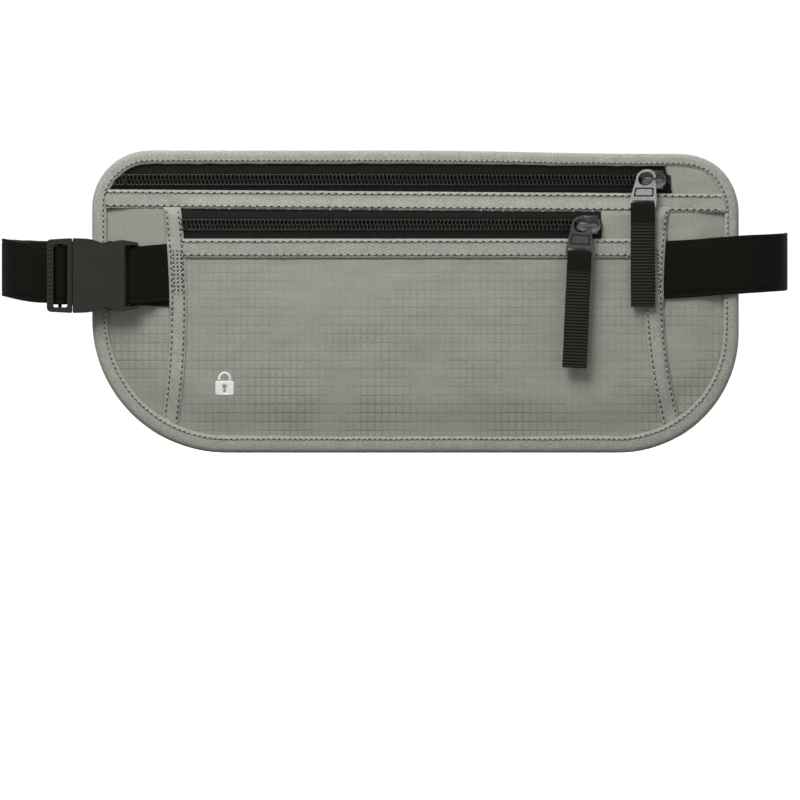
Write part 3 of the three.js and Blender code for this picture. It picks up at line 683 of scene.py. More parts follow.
def metal_look(name, color, roughness):
    """Plated zinc with faint tumbling marks."""
    look = Look(name, color, roughness, 1.0)
    marks = look.grain(1.4, 4.0)
    look.shade(marks, 0.82, 1.1)
    look.bump(look.grain(0.9, 3.0), 0.008, 0.4)
    look.rough(marks, roughness * 0.75, roughness * 1.3)
    return look.material


RIPSTOP = ripstop_look()
TAPE = tape_look()
# The thread's grey is lighter than the tape's: the thread's own grey with a painted highlight on its beads.
THREAD = thread_look("grey_thread", (0.43, 0.43, 0.385))
# Near-black beads at the stitch dents: painted shade under the thread.
NEEDLE_HOLE_SHADE = thread_look("needle_hole_shade", (0.03, 0.03, 0.026))
BLACK_TAPE = woven_look("zip_tape", (0.0075, 0.008, 0.0062), 0, 1.1, depth=0.06)
COIL = plastic_look("zip_coil", (0.003, 0.0032, 0.0027), 0.24, specular=0.3)
# Gunmetal for the sliders. The front tab is the same nickel as the main tab; on it this dark metal is a
# painted dark reflection.
GUNMETAL_AND_DARK_TAB_REFLECTION = metal_look("gunmetal", (0.085, 0.085, 0.088), 0.28)
BRIGHT = metal_look("bright_metal", (0.66, 0.67, 0.66), 0.17)
RECESS = metal_look("dark_recess", (0.03, 0.03, 0.03), 0.4)
WEBBING = webbing_look()
ELASTIC = elastic_look()
ACETAL = plastic_look("acetal", (0.0185, 0.0185, 0.015), 0.48, specular=0.14)
AIR_MESH = woven_look("air_mesh", (0.030, 0.030, 0.031), 0, 0.7, 0.8, 0.08)
SPACER = thread_look("mesh_spacer", (0.004, 0.004, 0.0045))
FOIL = metal_look("foil", (0.6, 0.61, 0.62), 0.35)
INK = thread_look("white_print", (0.80, 0.80, 0.78))


# ------------------------------------------------------------------ surfaces of the pouch, Y at (x, z)
def body_y(x, z):
    """The main pocket's front: tucked under the binding, then gently full."""
    e = edge_distance(x, z)
    loose = smooth(e, 7, 16) * (1 - 0.9 * smooth(z, 31, 38))
    return BODY_Y - 1.35 * smooth(e, HELD, 20) - wrinkles(x, z, BODY_WRINKLES) * loose


def pocket_y(x, z):
    """The front pocket's panel: it lies over the body's front and swells in its middle."""
    e = edge_distance(x, z)
    x, z = np.asarray(x, float), np.asarray(z, float)
    swell = smooth(100 - abs(x), 0, 60) * smooth(22 - z, 0, 30)
    loose = smooth(e, 7, 22) * smooth(23 - z, 0, 9)
    return POCKET_Y - 2.5 * smooth(e, HELD, 26) - swell - wrinkles(x, z, POCKET_WRINKLES) * loose


def side_strip_y(strip, x, z):
    """A side strip slopes from the pocket's face down to the body, and bulges over its strap."""
    across = np.clip(np.abs(np.asarray(x) - strip_x(strip, z, 0)), 0, strip["width"])
    from_strap = np.abs(np.asarray(z) - strip["strap_z"]) - STRAP_W / 2
    lift = 1 - smooth(from_strap, 0.6, 4.6)
    outer_y = (body_y(x, z) - 0.45) * (1 - lift) + OVER_STRAP_Y * lift
    inner_y = pocket_y(x, z) - 0.5
    y = outer_y + (inner_y - outer_y) * smooth(across, 0, 3.2)
    rounding = 0.16 * (1 - smooth(across, 0, 0.9)) + 0.12 * (1 - smooth(strip["width"] - across, 0, 0.9))
    tuck = smooth(z, *STRIP_TUCK["z"])
    return (y + rounding) * (1 - tuck) + STRIP_TUCK["y"] * tuck


def side_strip_surface(strip):
    return lambda x, z: side_strip_y(strip, x, z)


def main_strip_edge(x, row):
    """Z of the main strip's top edge (row 0) or bottom edge (row 1)."""
    left, right = MAIN_STRIP["left"][row], MAIN_STRIP["right"][row]
    return left + (right - left) * (np.asarray(x) + POUCH_HALF_W) / (2 * POUCH_HALF_W)


def main_strip_y(x, z):
    """The main strip: crowned, raised where the front pocket is under it, and pinched by its stitches."""
    top, bottom = main_strip_edge(x, 0), main_strip_edge(x, 1)
    margin = np.minimum(top - z, z - bottom)
    crown = 0.14 + 0.2 * smooth(margin, 0, 1.0)
    over_pocket = smooth(104 - abs(np.asarray(x)), 0, 10) * (1 - smooth(z, bottom + 1, bottom + 6))
    pinch = 0.14 * ripple(x, z, 4.2, 9.0)
    return STRIP_Y - crown - 0.95 * over_pocket - pinch * smooth(margin, 0.2, 2.5)


def front_strip_y(x, z):
    """The front strip follows the pocket's face."""
    margin = np.minimum(FRONT_STRIP["top"] - np.asarray(z), np.asarray(z) - FRONT_STRIP["bottom"])
    return pocket_y(x, z) - 0.42 - 0.2 * smooth(margin, 0, 1.0) - 0.13 * ripple(x, z, 4.0, 3.0)


def past_zip_end(x, z):
    """How far a point is to the right of the fold of the cloth beyond the main zip."""
    return np.asarray(x) - ZIP_END_FOLD["x"] - ZIP_END_FOLD["slope"] * (ZIP_END_FOLD["z"] - np.asarray(z))


def zip_end_y(x, z):
    """The cloth beyond the main zip, with its folded left edge."""
    past = past_zip_end(x, z)
    return -5.9 - 0.75 * smooth(past, -0.2, 1.6) - 0.3 * ripple(x, z, 7.0, 7.7) * smooth(past, 0, 6)


def ear_y(x, z):
    """The cloth beyond the front zip: folded at its left edge and tucked under the main strip."""
    tuck = smooth(z, *EAR_TUCK["z"])
    y = EAR_Y - 0.3 * smooth(np.asarray(x), 80, 82) - 0.2 * ripple(x, z, 8.0, 2.2)
    return y * (1 - tuck) + EAR_TUCK["y"] * tuck


def back_y(x, z):
    """The inner back, seen only in the hidden pocket's open corner."""
    e = edge_distance(x, z)
    return BACK_Y + 0.8 * smooth(e, 6, 20) + 0.3 * ripple(x, z, 14.0, 6.6) * smooth(e, 6, 14)


def mesh_y(x, z):
    """The air mesh's rear face: pressed down at the binding and under the hem, full elsewhere."""
    full = smooth(edge_distance(x, z), 7.6, 17) * (0.55 + 0.45 * smooth(-past_mouth(x, z), 3.6, 9))
    return MESH_Y + 2.6 * full


def hem_y(x, z):
    """The mouth's hem: a flat folded band that rises over the mesh's edge and drops to the inner back."""
    margin = MOUTH["hem"] - np.abs(past_mouth(x, z))
    level = -2.3 + 1.75 * smooth(edge_distance(x, z), 7, 16)
    return level + 0.2 * smooth(margin, 0, 1.2) + 0.12 * ripple(x, z, 6.0, 1.1)


# ------------------------------------------------------------------ pouch
def edge_frames(step=1.2):
    """Points round the pouch's edge, their inward directions, and slow noise along it."""
    points = outline(0.0, step)
    along = np.roll(points, -1, axis=0) - np.roll(points, 1, axis=0)
    along /= np.linalg.norm(along, axis=1)[:, None]
    inward = np.column_stack([-along[:, 1], along[:, 0]])
    distance = np.arange(len(points)) * step
    return points, inward, distance, ripple(distance, 0 * distance, 17.0, 4.0)


def binding_width(z):
    """The tape shows a little wider at the pouch's bottom."""
    return BINDING_W - 0.75 * np.asarray(z) / POUCH_HALF_H


def binding():
    """Tape folded round the edge. Each pair of its section is a distance in from the edge and a Y."""
    front = [(0.35, -5.8), (0.35, -6.5), (0.12, -6.82), (-1.2, -6.98), (-3.2, -7.02)]
    middle = [(1.9, -6.95), (0.9, -6.6), (0.25, -5.9), (0.0, -4.9), (0.05, -4.0), (0.5, -3.0), (1.3, -2.4)]
    rear = [(-3.4, -2.15), (-1.4, -2.02), (0.3, -2.02), (0.9, -2.3), (1.1, -2.9)]
    points, inward, distance, slow = edge_frames()
    wave = ripple(distance, 0 * distance, 5.5, 2.0)
    rows = []
    for point, normal, fast, lazy in zip(points, inward, wave, slow):
        width = binding_width(point[1])
        section = [(width + d + 0.28 * fast + 0.3 * lazy, y) for d, y in front]
        section += middle
        section += [(width + 1.0 + d + 0.2 * fast, y) for d, y in rear]
        row = []
        for j, (inset, y) in enumerate(section):
            x, z = point + normal * max(inset, 0)
            pucker = 0.13 * fast * math.sin(j * 0.9) + 0.1 * lazy * math.cos(j * 0.7)
            row.append((x, y + pucker, z))
        rows.append(row)
    tape = build("edge_binding_tape", *loft(rows, closed_rows=True), TAPE, "grey_tape",
                 replaces=["edge_binding"])
    thicken(tape, 0.45)


def side_strip_loop(strip, top=41.0):
    """A side strip's outline, running on below the pouch's edge."""
    heights = np.arange(top, -70, -2.0)
    outer = np.column_stack([strip_x(strip, heights, 0), heights])
    inner = np.column_stack([strip_x(strip, heights, strip["width"]), heights])[::-1]
    loop = np.vstack([outer, inner])
    return loop if strip["side"] < 0 else loop[::-1]


def front_panels():
    """The ripstop of the front: main pocket, front pocket, and the cloth beyond each zip."""
    tucked = 1.5  # how far the body's cloth stays below the main strip's top edge
    left, right = (MAIN_STRIP[side][0] - tucked for side in ("left", "right"))
    under_strip = ((left - right) / (2 * POUCH_HALF_W), 1.0, (left + right) / 2)
    body = clip(outline(UNDER_BINDING, 3.0), under_strip)
    piece = panel("body_front_cloth", body, 1.9, body_y, RIPSTOP, "ripstop", replaces=["body_front_panel"])
    sewn_sheet(body)

    slope = ZIP_END_FOLD["slope"]
    fold = (-1, -slope, -(ZIP_END_FOLD["x"] + slope * ZIP_END_FOLD["z"]))
    end = clip(outline(UNDER_BINDING, 3.0), (0, -1, -43.0), fold)
    panel("body_front_zip_end", end, 1.2, zip_end_y, RIPSTOP, "ripstop", thickness=0.7)

    left_edge = [(strip_x(LEFT_STRIP, z, 4.2), z) for z in np.arange(30, -72, -3.0)]
    right_edge = [(strip_x(RIGHT_STRIP, z, 4.4), z) for z in np.arange(-70, 31, 3.0)]
    pocket = clip(np.array(left_edge + right_edge), (0, 1, FRONT_STRIP["top"] - 0.9), *outline_planes(5.0))
    piece = panel("front_pocket_cloth", pocket, 1.6, pocket_y, RIPSTOP, "ripstop",
                  replaces=["front_pocket_panel"])
    sewn_sheet(pocket)

    right_edge = [(strip_x(RIGHT_STRIP, z, 4.4), z) for z in np.arange(24.5, 41, 2.0)]
    ear = np.array([(80.6, 24.5), *right_edge, (80.2, 40.5)])
    panel("front_pocket_zip_end", ear, 1.3, ear_y, RIPSTOP, "ripstop", thickness=0.6)


def strips():
    """The folded strips under the zips and at the front pocket's sides."""
    spacing = 0.95
    inner = outline_planes(STRIP_END)
    corners = [(-1, 1), (1, 1), (1, 0), (-1, 0)]  # side and row
    ends = [(side * POUCH_HALF_W, row) for side, row in corners]
    main = np.array([(x, main_strip_edge(x, row)) for x, row in ends])
    panel("main_facing_tape", clip(main, *inner), spacing, main_strip_y, TAPE, "grey_tape",
          replaces=["main_facing_strip"])

    for strip, node in ((LEFT_STRIP, "pocket_strip_left"), (RIGHT_STRIP, "pocket_strip_right")):
        loop = clip(side_strip_loop(strip), (0, 1, STRIP_TOP), *inner)
        panel(node + "_tape", loop, spacing, side_strip_surface(strip), TAPE, "grey_tape", replaces=[node])

    bottom, top = FRONT_STRIP["bottom"], FRONT_STRIP["top"]
    ends = [(LEFT_STRIP, bottom), (RIGHT_STRIP, bottom), (RIGHT_STRIP, top), (LEFT_STRIP, top)]
    front = np.array([(strip_x(strip, z, strip["width"] - 1.2), z) for strip, z in ends])
    panel("front_facing_tape", front, spacing, front_strip_y, TAPE, "grey_tape",
          replaces=["front_facing_strip"])


# ------------------------------------------------------------------ stitching
def stitches(name, rows, slot="grey_tape"):
    """Thread, and dark beads in the dents between stitches that paint the shade under the thread. Each row is
    its points, its outward Y, and its seam.
    """
    threads, holes = [], []
    for line, outward, (pitch, size) in rows:
        points = resample(line, pitch)
        normal = (0, outward, 0)
        for p, q in zip(points[:-1], points[1:]):
            step = q - p
            slant = np.cross(step / pitch, normal) * size * 0.45
            threads.append(bead(p + step * 0.24 - slant, p + step * 0.76 + slant, normal, size, bow=0.3))
            # A near-black bead at each dent: the dent is real, its darkness is painted shade under the
            # thread.
            holes.append(bead(p - step * 0.2 + slant, p + step * 0.2 - slant, normal, size * 1.05, bow=0.04))
    for suffix, parts, look in (("thread", threads, THREAD), ("needle_hole_shades", holes, NEEDLE_HOLE_SHADE)):
        face_outwards(build(f"{name}_{suffix}", *merged(parts), look, slot))


def line_on(surface, points, lift=0.1, step=1.0):
    """A line of (x, z) points laid just in front of a surface."""
    flat = resample(points, step)
    return np.column_stack([flat[:, 0], surface(flat[:, 0], flat[:, 1]) - lift, flat[:, 1]])


def binding_stitching():
    """One row round the front and one round the rear, just inside the tape's edge."""
    points, inward, _, slow = edge_frames()
    width = binding_width(points[:, 1])
    for name, inset, y, outward, seam in (
        ("binding_front", width - 1.15 + 0.25 * slow, BINDING_Y, -1, BINDING_SEAM),
        ("binding_rear", width + 1.3, BINDING_REAR_Y, 1, BINDING_REAR_SEAM),
    ):
        flat = points + inward * inset[:, None]
        line = np.column_stack([flat[:, 0], np.full(len(flat), y), flat[:, 1]])
        stitches(name, [(np.vstack([line, line[:1]]), outward, seam)])


def strip_stitching():
    """Two rows along each strip, and bar tacks where the straps are sewn in."""
    rows = []
    for row, inwards in ((0, -1.15), (1, 1.35)):
        ends = [(x, main_strip_edge(x, row) + inwards) for x in (-133.5, 133.0)]
        rows.append((line_on(main_strip_y, ends), -1, FACING_SEAM))
    for z in (FRONT_STRIP["top"] - 1.25, FRONT_STRIP["bottom"] + 1.6):
        ends = [(strip_x(strip, z, strip["width"] - 0.4), z) for strip in (LEFT_STRIP, RIGHT_STRIP)]
        rows.append((line_on(front_strip_y, ends), -1, FACING_SEAM))
    stitches("facing_strips", rows)

    rows = []
    heights = np.arange(38.5, -62, -1.5)
    for strip in (LEFT_STRIP, RIGHT_STRIP):
        for inwards in (1.3, strip["width"] - 1.3):
            line = np.column_stack([strip_x(strip, heights, inwards), heights])
            line = line[edge_distance(line[:, 0], line[:, 1]) > 7.0]
            rows.append((line_on(side_strip_surface(strip), line), -1, SIDE_SEAM))
    for strip, xs in ((LEFT_STRIP, (-104.9, -103.2, -101.5)), (RIGHT_STRIP, (103.3, 104.9))):
        for x in xs:
            tack = [(x, 21.8), (x + 0.6, 3.0)]
            rows.append((line_on(side_strip_surface(strip), tack), -1, BAR_TACK))
    stitches("side_strips", rows)


# ------------------------------------------------------------------ zips
def zip_tapes(zipper):
    """The woven tape above and below the coil, tucked under the cloth at its top."""
    z, face = zipper["z"], zipper["face"]
    left, right = zipper["x"][0] - 1.5, zipper["x"][1] + 3
    gap = 0.35

    def height(x, zz):
        ridge = 0.1 * ripple(x, zz, 14.0, 5.0) * smooth(np.abs(np.asarray(zz) - z), 3, 6)
        return face + 0.12 + ridge + 0.9 * smooth(zz, zipper["tuck"], zipper["tuck"] + 3.6)

    for half, low, high in (("upper", z + gap, zipper["tape"][1]), ("lower", zipper["tape"][0], z - gap)):
        loop = clip(rectangle(left, right, low, high), *outline_planes(4.8))
        panel(f"{zipper['name']}_zip_cloth_{half}", loop, 1.3, height, BLACK_TAPE, "zip_tape",
              thickness=0.3, replaces=[f"{zipper['name']}_zip_tape_{half}"])


def zip_coil(zipper):
    """The teeth of both halves, which alternate, and the cord that each half is wound on."""
    z, face, pitch = zipper["z"], zipper["face"], TOOTH["pitch"]
    left, right = zipper["x"]
    for half, side, phase, lean in (("upper", 1, 0.25, 1.25), ("lower", -1, 0.75, 0.35)):
        teeth = []
        for i in range(int((right - left) / pitch)):
            x = left + (i + phase) * pitch
            if edge_distance(x, z + side * 1.5) < 5.5:
                continue
            head = (x, face - 1.0, z - side * 0.35)
            heel = (x + TOOTH["slant"] * lean, face - 0.55, z + side * TOOTH["reach"])
            teeth.append(bead(head, heel, (0, -1, 0), TOOTH["radius"], bow=0.5, sides=8))
        cord = []
        for x in np.arange(left, right, 0.7):
            if edge_distance(x, z + side * 2.0) > 5.5:
                y = face - 0.75 + 0.06 * math.sin(x * 2 * math.pi / pitch)
                cord.append([(x, y + 0.2 * math.sin(a), z + side * 2.2 + 0.3 * math.cos(a))
                             for a in np.arange(6) * math.pi / 3])
        face_outwards(build(f"{zipper['name']}_coil_teeth_{half}", *merged([*teeth, capped_loft(cord)]), COIL,
                            "zip_coil", replaces=[f"{zipper['name']}_zip_coil_{half}"]))


def slider(zipper):
    """Front and rear plates, two rails that hold the coil, and the bridge that the tab hangs on."""
    x, z, face, name = zipper["slider_x"], zipper["z"], zipper["face"], zipper["name"]
    front = face - SLIDER["rise"]
    turns = np.linspace(0, 2 * math.pi, 41)[:-1]
    oval_x, oval_z = (size * np.sign(wave) * np.abs(wave) ** 0.8 for size, wave in (
        (SLIDER["half_length"], np.cos(turns)), (SLIDER["half_height"], np.sin(turns))))
    # The share of the oval at each height of the domed front.
    dome = [(0.94, 0.0), (1.0, 0.22), (1.0, 0.5), (0.94, 0.78), (0.78, 0.98), (0.5, 1.1), (0.2, 1.14)]
    rings = [[(x + size * a, front - rise, z + size * b) for a, b in zip(oval_x, oval_z)]
             for size, rise in dome]
    body = [capped_loft(rings), slab(np.column_stack([x + oval_x, z + oval_z]), face + 0.6, face + 1.3)]
    for side in (1, -1):
        rail_z, half_t = z + side * SLIDER["rail"], 0.45
        rail = rounded(rectangle(x - 3.2, x + 4.2, rail_z - half_t, rail_z + half_t), 0.3, 3)
        body.append(slab(rail, front - 0.2, face - 0.25))
    span, height = BRIDGE["half_span"], BRIDGE["height"]
    arch = [(x - 0.3 - span * math.cos(t), front - 0.5 - height * math.sin(t) ** 0.6, z)
            for t in np.linspace(0, math.pi, 15)]
    body.append(tube(arch, *BRIDGE["section"]))
    piece = build(f"{name}_slider_body", *merged(body), GUNMETAL_AND_DARK_TAB_REFLECTION, "gunmetal", f"{name}_slider",
                  replaces=[f"{name}_slider"])
    soften(piece, 0.22)


def tab(zipper, look, slot):
    """The pull tab: a thin-rimmed ring, a blank cushion inside a groove, and a slot for the webbing."""
    name, y, half_t = zipper["name"], zipper["hang_y"], TAB["half_t"]
    length, lean = zipper["tab"]["length"], zipper["tab"]["lean"]
    ring_x, ring_z = TAB["ring"]
    reach = math.radians(98)
    crown = [(ring_x * math.sin(a), 0.4 + ring_z * math.cos(a)) for a in np.linspace(reach, -reach, 26)]
    neck, foot = TAB["neck"], TAB["foot"]
    sides = [(-neck, -4.0), (-foot, -length + 3.6), (-foot, -length)]
    sides += [(-x, z) for x, z in sides[::-1]]
    loop = rounded([*crown, *sides], [0.02] * len(crown) + [2.0, 2.0, 1.1, 1.1, 2.0, 2.0])
    eye = arc(0, 0.35, *TAB["eye"], 0, 4, 28)[:-1]
    slot_low = -length + TAB["bar"]
    slot_hole = rounded(rectangle(-4.9, 4.9, slot_low, slot_low + TAB["slot"]), 0.5)

    def field(inset):
        low, high = -length + 5.0 + inset, -3.5 - inset
        wide, narrow = 4.4 - inset, 4.0 - inset
        return rounded([(-wide, low), (wide, low), (narrow, high), (-narrow, high)], 0.6)

    def place(shape):
        shape = np.asarray(shape, float)
        leaned = shape + np.outer(shape[:, 1] + length, (lean / length, 0))
        return turned(leaned, (zipper["tab"]["x"], zipper["tab"]["z"]), zipper["tilt"])

    outer, holes = place(loop), [place(eye), place(slot_hole)]
    plate = [
        slab(outer, y - 0.1, y + half_t, holes),
        slab(outer, y - half_t, y + 0.1, [*holes, place(field(0.0))]),
        slab(place(field(0.65)), y - half_t - 0.05, y + 0.1),
    ]
    body = f"{name}_pull_tab"
    soften(build(f"{name}_tab_plate", *merged(plate), look, slot, body, replaces=[body]), 0.34)
    recess = slab(place(field(-0.05)), y - 0.2, y + 0.05)
    soften(build(f"{name}_tab_recess", *recess, RECESS, slot, body), 0.03)


def pull(zipper):
    """Ribbed webbing, folded through the tab's slot. It is drawn hanging from the tab's lower bar."""
    y, x, length = zipper["hang_y"], zipper["pull"]["x"], zipper["pull"]["length"]
    step, period = 0.2, WEBBING_RIB["period"]
    fold = arc(y, 0, 1.36, 1.5, 2, 0, 12)
    line = [(y - 1.6, -length), (y - 1.6, -3.0), *fold, (y + 0.8, -2.1), (y - 0.2, -3.6), (y - 0.85, -5.2)]
    line = resample([*line, (y - 0.85, -length + 0.3)], step)
    along = np.arange(len(line)) * step
    direction = np.gradient(line, axis=0)
    direction /= np.linalg.norm(direction, axis=1)[:, None]
    normal = np.column_stack([-direction[:, 1], direction[:, 0]])
    flat = smooth(line[:, 1], -9.0, -5.5)
    crest = np.abs(np.sin(line[:, 1] * math.pi / period)) ** 0.8
    half_t = WEBBING_RIB["base"] + WEBBING_RIB["height"] * (1 - 0.85 * flat) * crest
    sway = 0.18 * ripple(along, 0 * along, 12.0, x)
    across = [-1, -0.985, -0.93, -0.6, -0.2, 0.2, 0.6, 0.93, 0.985, 1]
    share = [0.35, 0.75, 1, 1, 1, 1, 1, 1, 0.75, 0.35]
    profile = [*zip(across, share)] + [(a, -b) for a, b in zip(across[::-1], share[::-1])]
    rows = []
    for k, (py, pz) in enumerate(line):
        fray = 0.22 * math.sin(k * 2.4) * (k < 3 or k > len(line) - 4)
        half_w = WEBBING_HALF_W - 0.1 * (along[k] % period < 0.3)
        rows.append([(a * half_w + sway[k] * 0.6, py + normal[k, 0] * b * half_t[k] + sway[k] * 0.25,
                      pz + normal[k, 1] * b * half_t[k] + fray) for a, b in profile])
    vertices, faces = capped_loft(rows)
    vertices[:, [0, 2]] = turned(vertices[:, [0, 2]], (x, zipper["pull"]["z"]), zipper["tilt"])
    body = f"{zipper['name']}_pull_webbing"
    piece = build(f"{zipper['name']}_pull_ribbon", vertices, faces, WEBBING, "pull_webbing", body,
                  replaces=[body])
    face_outwards(piece)
    # The rib height, which the material turns into painted highlights on the ridges and painted shade in the
    # valleys.
    mark_points(piece, "rib", np.repeat(crest * (1 - flat) + 0.5 * flat, len(profile)))


def zips():
    # The front tab's dark metal is a painted dark reflection; the main tab's bright metal is the finish of
    # both.
    for zipper, look, slot in ((MAIN_ZIP, BRIGHT, "bright_metal"), (FRONT_ZIP, GUNMETAL_AND_DARK_TAB_REFLECTION, "gunmetal")):
        zip_tapes(zipper)
        zip_coil(zipper)
        for end in ("left", "right"):
            repaint(f"{zipper['name']}_zip_stop_{end}", COIL)
        slider(zipper)
        tab(zipper, look, slot)
        pull(zipper)


# ------------------------------------------------------------------ belt
def strap(name, path, heights, replaces, body="pouch", thickness=STRAP_T):
    """Elastic along a plan path (x, y), with rolled edges and a woven line inside each of them, raised as a
    ridge that its material lightens with a painted highlight.
    """
    path = np.asarray(path, float)
    length = np.concatenate([[0], np.cumsum(np.linalg.norm(np.diff(path, axis=0), axis=1))])
    count = int(length[-1] / 1.4)
    at = np.linspace(0, length[-1], count)
    line = np.column_stack([np.interp(at, length, path[:, k]) for k in (0, 1)])
    middle = np.interp(at, length, heights)
    direction = np.gradient(line, axis=0)
    direction /= np.linalg.norm(direction, axis=1)[:, None]
    normal = np.column_stack([direction[:, 1], -direction[:, 0]])
    half = STRAP_W / 2
    # From one edge inwards: the place, the share of the thickness, and whether the ridge's painted highlight
    # is there.
    rim = [(0, 0.35, 0), (0.1, 0.75, 0), (0.45, 1, 0), (0.95, 1, 0), (1.2, 1.18, 1), (1.45, 0.75, 0),
           (1.7, 0.75, 0), (1.95, 1, 0)]
    profile = [(a - half, share, tone) for a, share, tone in rim]
    profile += [(half * a, 1, 0) for a in (-0.6, -0.3, 0, 0.3, 0.6)]
    profile += [(half - a, share, tone) for a, share, tone in rim[::-1]]
    profile += [(a, -share, tone) for a, share, tone in profile[::-1]]
    bulge = ripple(at, 0 * at, 22.0, 1.0)
    rows = []
    for k in range(count):
        ring = []
        for a, share, _ in profile:
            lift = share * thickness / 2 - 0.1 * bulge[k] * (a / half) ** 2
            x, y = line[k] + normal[k] * lift
            ring.append((x, y, middle[k] + a + 0.12 * bulge[(k * 2) % count]))
        rows.append(ring)
    piece = face_outwards(build(name, *capped_loft(rows), ELASTIC, "elastic", body, replaces=replaces))
    # The ridge's painted highlight, for the material to read.
    mark_points(piece, "edge_ridge_highlight", np.tile([tone for _, _, tone in profile], count))
    return piece


def belt():
    """The long elastic from the right strip round the back to the buckle, and the short one on the left."""
    right, left = RIGHT_RUN, LEFT_RUN
    turn_right, turn_left = right["front"] + LOOP_CORNER, left["front"] + LOOP_CORNER
    root = [(105.0, -7.55), (113.0, -7.6), (125.0, -8.0), (135.0, right["front"])]
    corner = arc(right["x"] - LOOP_CORNER, turn_right, LOOP_CORNER, LOOP_CORNER, -1, 0)
    right_flank = arc(right["flank"], turn_right, right["x"] - right["flank"], LOOP_BACK - turn_right,
                      0, 1, 40)[1:]
    left_flank = arc(left["flank"], turn_left, left["flank"] - left["x"], LOOP_BACK - turn_left, 1, 2, 40)
    left_corner = arc(left["x"] + LOOP_CORNER, turn_left, LOOP_CORNER, LOOP_CORNER, 2, 3)[1:]
    wrap = [(-157.0, -8.9), (-154.5, -8.9), (-152.3, -9.1), (-151.3, -9.9), (-151.2, -10.9), (-152.2, -11.8),
            (-154.0, -12.15), (-155.2, -11.8), (-155.8, -10.9)]
    path = root + corner + right_flank + left_flank + left_corner + wrap
    highest = 17.6
    heights = [13.5, 13.9, 14.8, 15.6, *np.linspace(16.2, highest, len(corner))]
    heights += [*(highest + (STRAP_Z - highest) * smooth(np.linspace(0, 1, len(right_flank)), 0, 1))]
    heights += [STRAP_Z] * len(left_flank)
    heights += [*(STRAP_Z - 3.1 * smooth(np.linspace(0, 1, len(left_corner)), 0, 1))]
    heights += [BUCKLE_Z] * len(wrap)
    long = strap("belt_elastic", path, heights, ["strap_long", "strap_buckle_end"], body=None)
    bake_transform(long)

    wrap = arc(*BUCKLE_BAR, 1.75, 1.75, 1, 3, 10)
    path = [(-103.8, -7.1), (-110.0, -7.3), (-115.5, -8.3), (-119.5, -9.15), *wrap]
    path += [(-119.5, -12.4), (-115.0, -10.6), (-110.5, -8.6), (-107.5, -7.95), (-103.8, -7.9)]
    drops = [0.9, 0.8, 0.5, 0.2, *[0] * len(wrap), -0.1, -0.6, -1.1, -1.4, -1.6]
    heights = [BUCKLE_Z - drop for drop in drops]
    strap("buckle_side_elastic", path, heights, ["strap_short"], thickness=0.75)


# ------------------------------------------------------------------ buckle and adjuster
def female_half():
    """A waisted shell, open at its mouth and sides for the arms, with a bar for the short strap."""
    z, wall = BUCKLE_Z, 13.4
    mouth, end, waist, stop = -148.2, -119.9, -134.2, -128.5
    curve = resample([(mouth, 16.2), (-142.5, 16.0), (-139.5, 15.7), (waist, 14.1), (-129.0, 15.2),
                      (-126.6, 15.4), (end, 14.3)], 1.0)
    curve[:, 1] -= np.interp(curve[:, 0], [-142, waist, -127.5], [0, 0.45, 0])
    loop = np.vstack([curve[::-1] * (1, -1), curve])
    loop = rounded(loop[::-1] + (0, z), 1.0, 3)
    channel = slab(rectangle(mouth - 2, stop, z - wall, z + wall), -13.0, -9.0)
    windows = slab(rectangle(-140.3, stop, z - 18.5, z + 18.5), -13.0, -9.0)
    slot = slab(rectangle(-125.7, end + 2, z - 13.2, z + 13.2), -16.0, -9.6)
    rear_slot = slab(rectangle(-124.6, end + 2, z - 12.9, z + 12.9), -10.0, -6.0)
    cuts = ([channel, windows], [slot], [rear_slot])
    moulded("buckle_female_shell", slab(loop, -14.5, -7.5), 1.25, cuts, 0.22, "pouch", "buckle_female")
    bar = arc(*BUCKLE_BAR, 1.15, 1.15, 0, 4, 17)[:-1]
    face_outwards(build("buckle_female_bar", *rod(bar, (z - wall, z, z + wall)), ACETAL, "acetal"))


